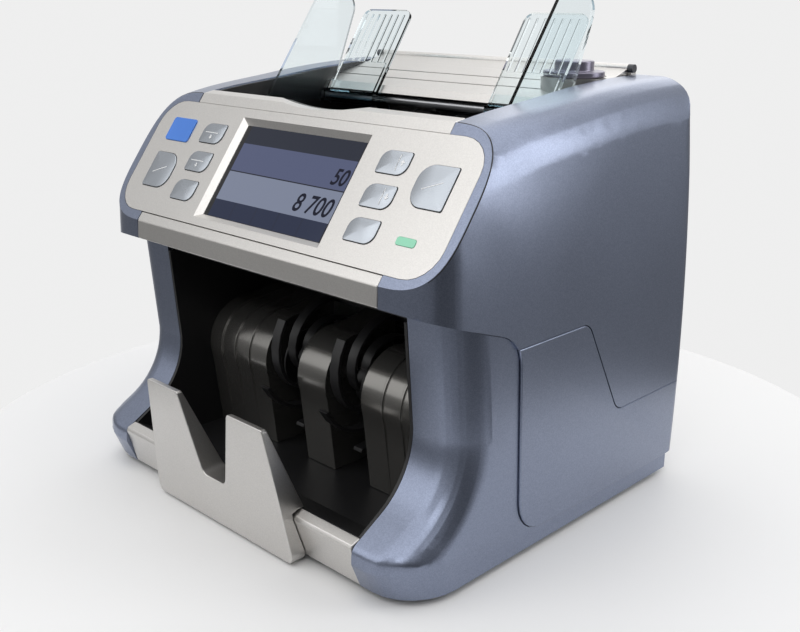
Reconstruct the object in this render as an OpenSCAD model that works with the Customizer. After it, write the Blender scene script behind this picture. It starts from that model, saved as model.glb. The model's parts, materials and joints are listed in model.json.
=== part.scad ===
// Banknote counter: hopper on top, stacker pocket in front, mechanism on two side frames.
// Millimetres, +X to the right, +Y to the back, +Z up, ground at z = 0.

/* [Body] */
// Overall width across the side covers
body_w = 280; // [260:1:300]
// Overall depth from the stacker plate's tips to the rear
body_d = 255; // [245:1:265]
// Height of the covers at their crest
cover_top = 244.5; // [238:0.5:252]
// Width of each blue side beside the silver middle
side_w = 38; // [37:0.5:40]
// Wall of the moulded covers
wall = 2.5; // [2:0.1:3]
// Visible gap between neighbouring covers
seam = 0.3; // [0.2:0.05:0.5]
// Height of the covers' lower edge above the ground
ground_gap = 4; // [3:0.5:5]
// Radius of the top's long curve
top_r = 757; // [650:1:900]
// Distance of the top's crest behind the stacker plate's tips
crest_y = 247; // [240:1:252]
// Radius of the rear's long curve
rear_r = 963; // [800:1:1200]
// Height where the rear bulges most
bulge_z = 70; // [50:1:90]
// Rounding from the top to the sides
top_edge_r = 22; // [14:1:26]
// Rounding of the rear upright edges
rear_edge_r = 8; // [4:1:10]
// Rounding of the head's front corners in plan
head_r = 20; // [12:1:24]
// Chamfer around the control panel's rim
rim_chamfer = 4; // [2:0.5:5]

/* [Control panel] */
// Distance of the lip behind the stacker plate's tips
lip_back = 31.8; // [28:0.2:36]
// Height of the lip's upper edge
lip_z = 155.8; // [152:0.2:158]
// Height of the lip's front face
lip_h = 10.8; // [8:0.2:12]
// Tilt of the panel from the horizontal
panel_tilt = 53.65; // [50:0.05:56]
// Fall of the head's lower edge per millimetre of depth
head_fall = 0.34; // [0.3:0.01:0.4]
// Inset of the silver plate from the covers' sides
plate_inset = 9.5; // [8:0.5:12]
// Distance of the plate's lower edge up the panel
plate_foot = 6; // [5:0.2:7]
// Height of the plate along the panel
plate_h = 75; // [73:0.2:76]
// Corner radius of the plate
plate_r = 18; // [10:1:22]
// Thickness of the plate
plate_t = 2.4; // [2:0.1:3]
// Clearance of trim pieces in their recesses
trim_gap = 0.2; // [0.1:0.05:0.4]
// Width of the finger dip in the top trim
dip_w = 72; // [50:1:90]
// Depth of the finger dip
dip_h = 3.7; // [2:0.1:4.5]

/* [Display and keys] */
// Width of the display opening
lcd_w = 106; // [96:1:110]
// Height of the display opening
lcd_h = 64.7; // [58:0.1:66]
// Width of the taper around the display
lcd_bezel = 3.5; // [2:0.1:4]
// Depth of the glass below the plate's face
lcd_depth = 3; // [2.6:0.1:4]
// Thickness of the display glass
glass_t = 1.2; // [0.8:0.1:2]
// Width of the small keys
key_w = 20; // [16:0.5:21]
// Height of the small keys
key_h = 12.8; // [10:0.1:14]
// Pitch of the small keys up the panel
key_pitch = 18.8; // [17:0.1:20]
// Centre of the lowest small keys up the panel
key_foot = 24.5; // [22:0.1:26]
// Centre of the left key column, to the left of the middle
key_left_x = 72.6; // [70:0.1:74]
// Centre of the right key column, to the right of the middle
key_right_x = 76.4; // [74:0.1:78]
// Size of the large keys
big_key = 23; // [20:0.5:24]
// How far the keys stand above the plate
key_rise = 1.2; // [0.8:0.1:2]
// Key travel
key_travel = 1.2; // [0.6:0.1:1.5]
// Sliding clearance round each key
key_gap = 0.3; // [0.2:0.05:0.5]
// Retaining flange under each key
key_flange = 1; // [0.6:0.1:1.5]

/* [Stacker pocket] */
// Height of the stacker plate's tips
tip_z = 77.3; // [74:0.1:80]
// Width across the stacker plate's tips
tip_w = 103; // [96:1:110]
// Width of the stacker plate's foot
foot_w = 125; // [116:1:130]
// Thickness of the stacker plate's tips
tip_t = 3.4; // [2.6:0.1:4.5]
// Lean of the stacker plate's front
plate_lean = 7.3; // [5:0.1:9]
// Lean of the stacker plate's back
back_lean = 20.5; // [18:0.1:22]
// Height of the notch's floor above the ground
notch_z = 30.8; // [29:0.1:34]
// Width of the notch at its mouth
notch_w = 45; // [40:1:48]
// Width of the notch at its floor
notch_floor_w = 20; // [16:1:24]
// Height of the front bar's inner edge
bar_z = 30; // [28:0.2:30.4]
// Height where the cheeks' concave arc starts
arc_z = 77; // [72:0.5:80]
// Radius of the cheeks' concave arc
arc_r = 45; // [42:0.5:48]
// Distance of the cheeks' upright front behind the stacker plate's tips
cheek_back = 56.4; // [52:0.2:60]
// Lean of the cheeks' upright front
cheek_lean = 4.75; // [3:0.05:6]
// Round between the cheek's concave front and its side
cheek_r = 18; // [12:1:24]
// Round of the cheek's toe seen from above
toe_plan_r = 26; // [20:1:32]
// How far the side covers stand proud of the cheeks
proud = 1.5; // [1:0.1:2]
// Distance of the stacker axle behind the stacker plate's tips
wheel_back = 104; // [102:0.2:108]
// Height of the stacker axle
wheel_z = 68; // [66:0.2:70]
// Tip radius of the stacker wheels
wheel_r = 42; // [38:0.2:43]
// Width of the stacker wheels' fingers
finger_w = 7; // [5:0.2:8]
// Number of fingers on each stacker wheel
fingers = 6; // [5:1:8]
// Centre of each stacker wheel from the middle
wheel_x = 26; // [24:0.5:28]
// Radius of the drum covers
drum_r = 27; // [24:0.2:28]
// Half width of the middle drum cover
drum_mid = 12.3; // [10:0.1:14]
// Inner end of the side drum covers from the middle
drum_side = 42; // [40:0.5:46]

/* [Hopper] */
// Depth of the hopper's front wall behind the stacker plate's tips
hopper_front = 91.5; // [90:0.2:93]
// Fall of the hopper's floor per millimetre of depth
floor_fall = 0.15; // [0.1:0.01:0.18]
// Height of the hopper's floor at its front
floor_z = 213; // [211:0.2:214]
// Lean of the clear guides from the upright
guide_lean = 33.5; // [30:0.1:36]
// Thickness of the clear guides
guide_t = 2.2; // [1.8:0.1:2.6]
// Width of the clear back plates
guide_w = 43; // [38:0.5:46]
// Distance of the clear back plates from the side fins
guide_side = 6; // [5:0.2:8]
// Distance of the clear side fins inside the hopper's sides
fin_inset = 6.8; // [6:0.2:8]
// Height of the clear fins' top corner
fin_top = 296.7; // [288:0.1:300]
// Travel of each clear guide towards the middle
guide_travel = 34; // [20:1:36]
// Radius of the guides' rod
rod_r = 3; // [2.5:0.1:3.5]

/* [Gap knob] */
// Knob centre inside the hopper's right side
knob_inset = 21.35; // [21:0.05:26]
// Knob centre in front of the rear
knob_back = 46.5; // [44:0.5:50]
// Radius of the knob's grip
knob_r = 11.3; // [9:0.1:13]
// Radius of the knob's skirt
knob_skirt_r = 17.5; // [14:0.1:18]
// Radius of the knob's screw
knob_screw_r = 2.5; // [2:0.1:3]

/* [Mechanism] */
// Thickness of the side frames
frame_t = 2; // [1.5:0.1:2.5]
// Distance of the frames' inner faces outside the silver middle
frame_out = 2; // [1.6:0.1:3]
// Radius of the driven shafts
shaft_r = 4; // [3:0.1:4.5]
// Running clearance of shafts and pins in their bores
run_gap = 0.06; // [0.03:0.01:0.09]
// Radius of the feed and drive rollers
roller_r = 16; // [14:0.2:17]
// Radius of the pinch rollers
pinch_r = 8; // [7:0.2:9]
// Radius of the retard rollers
retard_r = 9; // [8:0.2:10]
// Radius of the pickup rollers
pickup_r = 15; // [13:0.2:16]
// Clearance of the rollers to one another
nip_gap = 0.6; // [0.5:0.05:0.8]
// Distance of the feed axle in front of the rear
feed_back = 79.7; // [76:0.1:82]
// Distance of the pickup axle in front of the rear
pickup_back = 119.5; // [116:0.5:122]
// Height of the drive axle
drive_z = 124; // [118:0.5:130]
// Distance of the motor axle in front of the rear
motor_back = 32.5; // [30:0.5:36]
// Height of the motor axle
motor_z = 45; // [42:0.5:48]
// Width of the timing belts
belt_w = 6; // [5:0.5:7]
// Thickness of the timing belts
belt_t = 1.6; // [1.2:0.1:2]
// Small pulley radius
pulley_s = 10; // [8:0.5:11]
// Large pulley radius
pulley_l = 14; // [12:0.5:15]
// Foot radius
foot_r = 9; // [7:0.5:11]

/* [Rear] */
// Height of the parting line along the rear and lower sides
part_low = 61; // [58:0.5:64]
// Height of the parting line along the upper sides
part_high = 119.4; // [114:0.5:122]
// Height of the side panels' lower edge
side_foot = 14; // [12:0.5:16]
// Height of the rear door's rolled edge
ridge_z = 246.5; // [245:0.5:250]
// Radius of the rear door's hinge knuckles
knuckle_r = 2.3; // [2:0.1:2.6]
// Radius of the rear door's hinge pin
hinge_pin_r = 1.1; // [0.9:0.1:1.3]

/* [Hidden] */
$fn = 48;

body_blue = [0.42, 0.46, 0.55];
silver = [0.76, 0.75, 0.73];
black = [0.07, 0.07, 0.08];
drum_grey = [0.3, 0.3, 0.3];
steel = [0.62, 0.63, 0.65];
rubber = [0.13, 0.13, 0.14];
clear_blue = [0.72, 0.85, 0.9, 0.5];

eps = 0.01;
far = 400;
hw = body_w / 2;
mx = hw - side_w;
y_front = -body_d / 2;
y_rear = body_d / 2;
cheek_w = hw - proud;

// Long curves of the top and the rear
top_c = [y_front + crest_y, cover_top - top_r];
rear_c = [y_rear - rear_r, bulge_z];
function top_at(y, off = 0) = top_c.y + sqrt((top_r - off) ^ 2 - (y - top_c.x) ^ 2);
function rear_at(z, off = 0) = rear_c.x + sqrt((rear_r - off) ^ 2 - (z - rear_c.y) ^ 2);

// Control panel plane: s runs up the panel from the lip's edge
lip_y = y_front + lip_back;
lip_lean = 0.6;
lip_foot = [lip_y - lip_lean, lip_z - lip_h];
up = [cos(panel_tilt), sin(panel_tilt)];
out = [-sin(panel_tilt), cos(panel_tilt)];
function panel_at(s, off = 0) = [lip_y, lip_z] + s * up - off * out;
panel_b = (lip_y - top_c.x) * up.x + (lip_z - top_c.y) * up.y;
panel_q = (lip_y - top_c.x) ^ 2 + (lip_z - top_c.y) ^ 2 - top_r ^ 2;
panel_len = -panel_b + sqrt(panel_b ^ 2 - panel_q);
plate_hw = hw - plate_inset;
plate_mid = plate_foot + plate_h / 2;
lcd_mid = 43;
board_t = 1.6;
board_z = -8;
board_hw = mx + 20;

// Head's lower edge and the step line of the raised side
function head_low(y) = lip_foot.y - head_fall * (y - lip_foot.x);
step_y = y_front + 93.2;
step_foot_y = step_y + 4.6;
step_r = 20;
step_low = side_foot + 22;

// Cheek's concave front line in the side view
cheek_y = y_front + cheek_back;
arc_c = [cheek_y - arc_r, arc_z];
arc_end = 60;
arc_tip = arc_c + arc_r * [cos(arc_end), -sin(arc_end)];
bar_top = [arc_tip.x - (arc_tip.y - bar_z) / tan(90 - arc_end), bar_z];
bar_drop = 2;
bar_front = [bar_top.x - 6.7, bar_top.y - 4];
bar_foot = [bar_front.x + 5.9, ground_gap];
bar_round = 1.6;
bar_wall = 2.6;
bar_bend = bar_front.y - 8;
toe_r = 7;
toe_over = 0.06;

// Shaft centres in the side view
stack_c = [y_front + wheel_back, wheel_z];
feed_y = y_rear - feed_back;
function floor_at(y) = floor_z - floor_fall * (y - y_front - hopper_front);
feed_c = [feed_y, floor_at(feed_y) + 1.5 - roller_r];
drive_c = [feed_y, drive_z];
pickup_y = y_rear - pickup_back;
pickup_c = [pickup_y, floor_at(pickup_y) + 1.5 - pickup_r];
pinch_c = [feed_y + roller_r + pinch_r + nip_gap, drive_z];
retard_angle = 50;
retard_reach = roller_r + retard_r + nip_gap;
retard_c = feed_c + retard_reach * [cos(retard_angle), sin(retard_angle)];
motor_c = [y_rear - motor_back, motor_z];
path_y = feed_y + roller_r + nip_gap / 2;
shaft_list = [stack_c, feed_c, drive_c, pickup_c, pinch_c];

frame_in = mx + frame_out;
frame_x = frame_in + frame_t;
frame_front = cheek_y + 9;
frame_gap = 0.5;
frame_back = y_rear - 21.5;
bearing_r = 8;
bearing_w = 4;
shaft_left = frame_x + 3.5;
belt_a = frame_x + 3.5;
belt_b = belt_a + belt_w + 2;
belt_c = belt_b + belt_w + 2;
motor_pulley_r = 8;
belt_gap = 0.3;

// Hopper and guides
tray_y = y_front + hopper_front;
tray_t = 2;
tray_w = mx - seam / 2;
tray_wall = 2.2;
rear_panel_end = y_rear - 20.8;
rear_panel_y = rear_panel_end - 53.2;
rear_panel_lift = 29.425;
rear_panel_z = floor_at(rear_panel_y) + rear_panel_lift;
rear_panel_rise = 14;
rod_c = [rear_panel_y + 5, rear_panel_z - 9];
guide_foot_h = 7;
fin_x = tray_w - fin_inset;
guide_out = fin_x - guide_side;
guide_in = guide_out - guide_w;
fin_foot_y = rear_panel_y - 56.5;
knob_c = [tray_w - knob_inset, y_rear - knob_back];
function slope_z(y) = rear_panel_z + rear_panel_rise * (y - rear_panel_y) / (rear_panel_end - rear_panel_y);
knob_base = slope_z(knob_c.y) + 2.2;

// Drum covers and pocket
drum_t = 2;
drum_gap = 0.4;
pocket_t = 2;
pocket_x = mx - seam / 2;
pocket_floor = 11.5;
pocket_back = stack_c.x + 32;
pocket_top = head_low(cheek_y) - 6;
base_z = ground_gap + 2;
base_t = 1.5;
hinge_c = [rear_at(part_low + 2.4) - knuckle_r, part_low + 2.4];

// Points along an arc
function arc(c, r, a0, a1, n = 8) = [for (i = [0:n]) c + r * [cos(a0 + (a1 - a0) * i / n), sin(a0 + (a1 - a0) * i / n)]];
function unit(v) = v / norm(v);
// One rounded corner at b between a and c
function corner(a, b, c, r, n) =
  let (u = unit(a - b), v = unit(c - b), half = acos(u * v) / 2)
  let (m = b + unit(u + v) * r / sin(half), p = b + u * r / tan(half), q = b + v * r / tan(half))
  let (a0 = atan2(p.y - m.y, p.x - m.x), a1 = atan2(q.y - m.y, q.x - m.x))
  arc(m, r, a0, a0 + (a1 - a0 + 540) % 360 - 180, n);
// Polygon with corners [x, y, radius]
function xy(p) = [p.x, p.y];
function rounded(p, n = 6) = [for (i = [0:len(p) - 1])
  let (a = xy(p[(i + len(p) - 1) % len(p)]), b = xy(p[i]), c = xy(p[(i + 1) % len(p)]))
  each (p[i][2] > 0 ? corner(a, b, c, p[i][2], n) : [b])];
function top_line(y0, y1, off, n = 8) = [for (i = [0:n]) let (y = y0 + (y1 - y0) * i / n) [y, top_at(y, off)]];
function rear_line(z0, z1, off, n = 6) = [for (i = [0:n]) let (z = z0 + (z1 - z0) * i / n) [rear_at(z, off), z]];

// Extrudes a side view along X
module along_x(x0, x1) {
  translate([x0, 0, 0]) rotate([90, 0, 90]) linear_extrude(x1 - x0) children();
}

// Places children on the panel, z outwards
module on_panel() {
  translate([0, lip_y, lip_z]) rotate([panel_tilt, 0, 0]) children();
}

module mirror_left() {
  mirror([1, 0, 0]) children();
}

// Rod along X through a point of the side view
module x_rod(c, r, x0, x1) {
  translate([x0, c.x, c.y]) rotate([0, 90, 0]) cylinder(r = r, h = x1 - x0);
}

module round_rect(w, h, r) {
  polygon(rounded([[-w / 2, -h / 2, r], [w / 2, -h / 2, r], [w / 2, h / 2, r], [-w / 2, h / 2, r]]));
}

// Sector of a ring about an axis along X, its outer corner rounded at x1
module rim_sector(c, r, x0, x1, edge, depth, a0, a1) {
  translate([0, c.x, c.y]) rotate([0, 90, 0]) rotate([0, 0, a0]) rotate_extrude(angle = a1 - a0, $fn = 720)
    polygon(rounded([[r - depth, x0, 0], [r, x0, 0], [r, x1, edge], [r - depth, x1, 0]], 5));
}

// What a rounding takes off the outer corner of such a sector
module rim_corner(c, r, x1, edge, a0, a1) {
  translate([0, c.x, c.y]) rotate([0, 90, 0]) rotate([0, 0, a0]) rotate_extrude(angle = a1 - a0, $fn = 720)
    polygon(concat([[r + 1, x1 - edge], [r + 1, x1 + 1], [r - edge, x1 + 1]],
      arc([r - edge, x1 - edge], edge, 90, 0, 5)));
}

// What a rounding takes off an upright front corner
module plan_corner(x, y, r) {
  translate([0, 0, -1]) linear_extrude(far) polygon(concat([[x - r, y - 1], [x + 1, y - 1], [x + 1, y + r]],
    arc([x - r, y + r], r, 0, -90, 6)));
}

module top_form(off, x0) {
  rim_sector(top_c, top_r - off, x0, hw - off, top_edge_r - off, 230, 172, 202);
}

module rear_form(off, x0) {
  rim_sector(rear_c, rear_r - off, x0, hw + 5, 0, 300, 80, 106);
}

module rear_corner(off) {
  rim_corner(rear_c, rear_r - off, hw - off, rear_edge_r - off, 80, 106);
}

// Parting line between the upper cover and the side panel, from front to rear
function parting(gap) = let (g = gap) [[step_y - 30, part_high + g, 0], [step_y + 57.5, part_high + g, 10],
  [step_y + 90, part_low + g, 10], [y_rear + 30, part_low + g, 0]];

// Upper cover

module upper_side(off, panel_off) {
  edge = lip_foot.x + 40;
  top = panel_at(panel_len + 15, panel_off);
  polygon(rounded([[lip_foot.x + off, lip_foot.y + off, 0], [lip_y + off, panel_at(0, panel_off).y - 0.3 * panel_off, 0],
    [top.x, top.y, 0], [y_rear + 20, cover_top + 40, 0], [y_rear + 20, part_low - 10, 0], [step_y, part_low - 10, 0],
    [step_y, head_low(step_y) + off, step_r], [edge, head_low(edge) + off, 0]]));
}

module upper_solid(off, panel_off, x0) {
  difference() {
    intersection() {
      top_form(off, x0);
      rear_form(off, x0 - 5);
      along_x(x0 - 4, hw + 4) upper_side(off, panel_off);
    }
    rear_corner(off);
    plan_corner(hw - off, lip_foot.x + off, head_r - off);
  }
}

module below_parting(gap) {
  polygon(concat([[y_rear + 40, -20], [step_y - 40, -20]], rounded(parting(gap))));
}

module rim_cut() {
  on_panel() translate([hw, 0, 0]) rotate([0, 45, 0])
    cube([rim_chamfer * sqrt(2), far, rim_chamfer * sqrt(2)], center = true);
}

// Slot in the head's underside where the side frame passes
module frame_slot() {
  translate([frame_in - frame_gap, frame_front - frame_gap, part_high - 2])
    cube([frame_t + 2 * frame_gap, step_y + step_r / 2 - frame_front, 30]);
}

module right_upper_cover() {
  color(body_blue) difference() {
    upper_solid(0, 0, mx + seam / 2);
    upper_solid(wall, plate_t + trim_gap + wall, mx - 10);
    frame_slot();
    along_x(mx - 2, hw + 3) below_parting(seam / 2);
    on_panel() translate([0, plate_mid, -plate_t - trim_gap])
      linear_extrude(far / 10) round_rect(2 * (plate_hw + trim_gap), plate_h + 2 * trim_gap, plate_r);
    on_panel() translate([0, plate_mid, -far / 20])
      linear_extrude(far / 10) round_rect(2 * plate_hw - 10, plate_h - 10, plate_r - 5);
    rim_cut();
  }
}

module left_upper_cover() {
  mirror_left() right_upper_cover();
}

// Side panel below the parting line

module side_outline() {
  fore = step_y - 28;
  polygon(rounded([[fore, part_high + 40, 0], [fore, head_low(fore), 0], [step_y, head_low(step_y), step_r],
    [step_foot_y, side_foot, step_r], [y_rear + 30, side_foot, 0], [y_rear + 30, part_high + 40, 0]]));
}

module right_side_panel() {
  color(body_blue) difference() {
    intersection() {
      rear_form(0, mx + seam / 2);
      along_x(mx, hw) intersection() {
        side_outline();
        below_parting(-seam / 2);
      }
    }
    rear_corner(0);
    difference() {
      intersection() {
        rear_form(wall, mx - 5);
        along_x(mx - 4, hw - wall) translate([step_y - 20, -10]) square([far, far]);
      }
      rear_corner(wall);
    }
  }
}

module left_side_panel() {
  mirror_left() right_side_panel();
}

// Cheek: a round edge swept along the concave front line

module cheek_section(off, inner) {
  deep = 125 + off;
  polygon(rounded([[mx - inner, off, 0], [cheek_w - off, off, cheek_r - off], [cheek_w - off, deep, 0],
    [mx - inner, deep, 0]], 8));
}

sweep_lap = 2.5;

module cheek_sweep(off) {
  translate([0, cheek_y, arc_z]) rotate([cheek_lean, 0, 0]) translate([0, 0, -sweep_lap])
    linear_extrude(75 + sweep_lap + off) cheek_section(off, 8);
  translate([0, arc_c.x, arc_c.y]) rotate([0, 90, 0]) rotate([0, 0, 90 - arc_end])
    rotate_extrude(angle = arc_end + cheek_lean * 0.8, $fn = 180) translate([arc_r, 0]) mirror([1, -1])
      cheek_section(off, 9);
  translate([0, arc_tip.x, arc_tip.y]) rotate([-arc_end, 0, 0]) translate([0, 0, -60 - off])
    linear_extrude(60 + off) cheek_section(off, 9);
}

// Slope line of the toe, a hair above the swept surface, and where it meets the front
toe_rise = 0.15;
function toe_at(y) = bar_top.y + toe_rise + (y - bar_top.x) * tan(90 - arc_end);
module cheek_outline(off) {
  top_y = cheek_y - 25;
  front = bar_front.x + off;
  polygon(rounded([[bar_foot.x + off, ground_gap - off, 0], [front, bar_bend, 0],
    [front, toe_at(front) + off, toe_r], [bar_top.x + 6, toe_at(bar_top.x + 6) + off, 0],
    [bar_top.x + 6, arc_z, 0], [top_y, arc_z, 0], [top_y, head_low(top_y) - seam + off, 0],
    [step_y - seam + off, head_low(step_y) - seam + off, step_r],
    [step_foot_y - seam + off, side_foot - seam + off, step_r], [y_rear - 10 - off, side_foot - seam + off, 0],
    [y_rear - 10 - off, ground_gap - off, 0]]));
}

// The toe's round goes on along the part of its front that leans back
module toe_corner(off) {
  drop = bar_bend - ground_gap + off;
  translate([0, bar_foot.x + off, ground_gap - off]) rotate([atan((bar_foot.x - bar_front.x) / drop), 0, 0])
    translate([0, 0, -toe_plan_r]) plan_corner(cheek_w - off + toe_over, -toe_over, toe_plan_r + 2 - off);
}

module cheek_solid(off) {
  difference() {
    intersection() {
      union() {
        cheek_sweep(off);
        translate([mx - 10, cheek_y + 30, ground_gap - 2 * off - 5])
          cube([cheek_w - off - mx + 10, far, side_foot + 2 * off + 5]);
      }
      along_x(mx + seam / 2 - off, cheek_w + 1) cheek_outline(off);
    }
    plan_corner(cheek_w - off, bar_front.x + off, toe_plan_r - off);
    toe_corner(off);
  }
}

module right_cheek() {
  color(body_blue) difference() {
    cheek_solid(0);
    cheek_solid(wall);
  }
}

module left_cheek() {
  mirror_left() right_cheek();
}

// Front bar and the M-shaped stacker plate that straddles it

module front_bar() {
  color(silver) along_x(-pocket_x, pocket_x) polygon(concat([bar_foot],
    rounded([[bar_foot.x, bar_foot.y, 0], [bar_front.x, bar_front.y, bar_round],
      [bar_front.x + 1, bar_front.y + bar_drop, bar_round / 2], [bar_top.x, bar_top.y, 0]]),
    [[bar_top.x, bar_top.y - bar_wall], [bar_front.x + bar_wall + 0.8, bar_front.y - 0.6],
      [bar_foot.x + bar_wall, bar_foot.y]]));
}

module stacker_side() {
  foot_y = y_front + (tip_z - 1.5) * tan(plate_lean);
  back_y = y_front + tip_t + (tip_z - bar_top.y) * tan(back_lean);
  polygon([[y_front, tip_z], [foot_y, 1.5], [bar_foot.x - trim_gap, 1.5], [bar_foot.x - trim_gap, ground_gap],
    [bar_front.x - trim_gap, bar_front.y], [bar_front.x - trim_gap, bar_top.y - 1],
    [bar_top.x - 3, bar_top.y + trim_gap], [back_y, bar_top.y + trim_gap], [y_front + tip_t, tip_z]]);
}

module stacker_outline() {
  polygon(rounded([[-foot_w / 2, 0, 7], [foot_w / 2, 0, 7], [tip_w / 2, tip_z + 1, 4], [notch_w / 2, tip_z + 1, 4],
    [notch_floor_w / 2, notch_z, 5], [-notch_floor_w / 2, notch_z, 5], [-notch_w / 2, tip_z + 1, 4],
    [-tip_w / 2, tip_z + 1, 4]]));
}

module stacker_plate() {
  color(silver) intersection() {
    along_x(-foot_w, foot_w) stacker_side();
    translate([0, bar_top.x + 30, 0]) rotate([90, 0, 0]) linear_extrude(80) stacker_outline();
  }
}

// Lip, top trim and control panel

module front_lip() {
  under = cheek_y - 2;
  color(silver) along_x(-pocket_x, pocket_x) polygon([lip_foot, [lip_y, lip_z], panel_at(plate_foot - trim_gap),
    panel_at(plate_foot - trim_gap, wall), panel_at(1.2, wall), [lip_foot.x + wall, head_low(lip_foot.x + wall) + wall],
    [under, head_low(under) + wall], [under, head_low(under)]]);
}

module finger_dip() {
  dip_r = (dip_w ^ 2 / 4 + dip_h ^ 2) / (2 * dip_h);
  translate([0, tray_y - 30, top_at(tray_y) - dip_h + dip_r]) rotate([-90, 0, 0]) cylinder(r = dip_r, h = 40, $fn = 360);
}

module top_trim() {
  trim_t = 6.5;
  back = tray_y - trim_gap;
  foot = plate_foot + plate_h + trim_gap;
  color(silver) difference() {
    along_x(-pocket_x, pocket_x) polygon([panel_at(foot), panel_at(panel_len), [back, top_at(back)],
      [back, top_at(back) - 9], [back - wall, top_at(back) - 9], [back - wall, top_at(back) - trim_t],
      panel_at(panel_len - trim_t, trim_t), panel_at(foot, wall)]);
    finger_dip();
  }
}

module leaf(w, h) {
  polygon(rounded([[-w / 2, -h / 2, 1.5], [w / 2, -h / 2, h * 0.45], [w / 2, h / 2, 1.5], [-w / 2, h / 2, h * 0.45]]));
}

module dee(w, h) {
  polygon(rounded([[-w / 2, -h / 2, h * 0.38], [w / 2, -h / 2, 1.2], [w / 2, h / 2, 1.2], [-w / 2, h / 2, h * 0.38]]));
}

back_key_at = [26.5 - plate_hw, 33.8];
start_key_at = [plate_hw - 23.5, 52.9];
lens_at = [plate_hw - 24.1, 23.8];
lens_size = [12.4, 4.4];
emblem_at = [25.8 - plate_hw, 61.5];
emblem_size = [23, 15.5];
emblem_t = 0.8;

// Outlines of all keys, grown by g
module small_key(col, row, g) {
  translate([col, key_foot + row * key_pitch]) leaf(key_w + 2 * g, key_h + 2 * g);
}

module back_shape(g) {
  translate(back_key_at) mirror([1, 0]) dee(big_key + 2 * g, big_key + 2 * g);
}

module start_shape(g) {
  translate(start_key_at) dee(big_key + 2 * g, big_key + 2 * g);
}

module all_keys(g) {
  for (row = [0:2]) {
    small_key(-key_left_x, row, g);
    small_key(key_right_x, row, g);
  }
  back_shape(g);
  start_shape(g);
}

module lcd_taper() {
  hull() {
    translate([0, lcd_mid, eps]) cube([lcd_w, lcd_h, eps], center = true);
    translate([0, lcd_mid, -lcd_depth]) cube([lcd_w - 2 * lcd_bezel, lcd_h - 2 * lcd_bezel, eps], center = true);
  }
}

glass_w = lcd_w - 2 * lcd_bezel + 4;
glass_h = lcd_h - 2 * lcd_bezel + 4;
glass_z = -lcd_depth - glass_t;

module control_panel() {
  color(silver) on_panel() difference() {
    union() {
      translate([0, plate_mid, -plate_t]) linear_extrude(plate_t) round_rect(2 * plate_hw, plate_h, plate_r);
      translate([-lcd_w / 2 - 2, lcd_mid - lcd_h / 2 - 2, glass_z]) cube([lcd_w + 4, lcd_h + 4, -glass_z - 1]);
      for (x = [-lcd_w / 2 - 5.5, lcd_w / 2 + 5.5], s = [17, 71])
        translate([x, s, board_z + board_t]) cylinder(r = 2.2, h = -board_z - board_t - 1);
    }
    lcd_taper();
    translate([-glass_w / 2 - trim_gap, lcd_mid - glass_h / 2 - trim_gap, glass_z - 1])
      cube([glass_w + 2 * trim_gap, glass_h + 2 * trim_gap, glass_t + 1]);
    translate([0, 0, -plate_t - 1]) linear_extrude(plate_t + 2) all_keys(key_gap);
    translate([lens_at.x, lens_at.y, -plate_t - 1]) linear_extrude(plate_t + 2)
      round_rect(lens_size.x + trim_gap, lens_size.y + trim_gap, 1.6);
    translate([emblem_at.x, emblem_at.y, -emblem_t]) linear_extrude(emblem_t + 1)
      round_rect(emblem_size.x + trim_gap, emblem_size.y + trim_gap, 2);
  }
}

module display_glass() {
  color(black) on_panel() translate([-glass_w / 2, lcd_mid - glass_h / 2, glass_z]) cube([glass_w, glass_h, glass_t]);
}

module display_module() {
  color(steel) on_panel() translate([-lcd_w / 2 + 1, lcd_mid - lcd_h / 2 + 1, board_z + board_t])
    cube([lcd_w - 2, lcd_h - 2, glass_z - board_z - board_t]);
}

module status_lens() {
  color([0.6, 0.88, 0.73]) on_panel() translate([lens_at.x, lens_at.y, -plate_t])
    linear_extrude(plate_t + 0.3) round_rect(lens_size.x, lens_size.y, 1.5);
}

module emblem_tile() {
  color(body_blue) on_panel() translate([emblem_at.x, emblem_at.y, -emblem_t])
    linear_extrude(emblem_t + 0.6) round_rect(emblem_size.x, emblem_size.y, 1.9);
}

module key_board() {
  color([0.1, 0.3, 0.2]) on_panel() translate([-board_hw, 14, board_z]) cube([2 * board_hw, 60, board_t]);
}

// Key with its retaining flange; child 0 is the cap, child 1 the flange
module key_solid() {
  flange_z = -plate_t - key_gap;
  color(body_blue) on_panel() {
    translate([0, 0, flange_z - 0.5]) linear_extrude(key_rise - flange_z + 0.5) children(0);
    translate([0, 0, flange_z - 1.2]) linear_extrude(1.2) children(1);
  }
}

module left_key(row) {
  key_solid() {
    small_key(-key_left_x, row, 0);
    small_key(-key_left_x, row, key_flange);
  }
}

module right_key(row) {
  key_solid() {
    small_key(key_right_x, row, 0);
    small_key(key_right_x, row, key_flange);
  }
}

module currency_key() { left_key(2); }
module batch_key() { left_key(1); }
module add_key() { left_key(0); }
module mode_key() { right_key(2); }
module menu_key() { right_key(1); }
module report_key() { right_key(0); }

module back_key() {
  key_solid() {
    back_shape(0);
    back_shape(key_flange);
  }
}

module start_key() {
  key_solid() {
    start_shape(0);
    start_shape(key_flange);
  }
}

// Stacker pocket with its drum covers and wheels

cheek_top = [cheek_y - (head_low(cheek_y) - arc_z) * tan(cheek_lean), head_low(cheek_y)];
floor_knee = cheek_y - 8;
ceiling_end = stack_c.x + 4;
chute_y = path_y + 4;
chute_z = drive_c.y - roller_r - 5;

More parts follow.
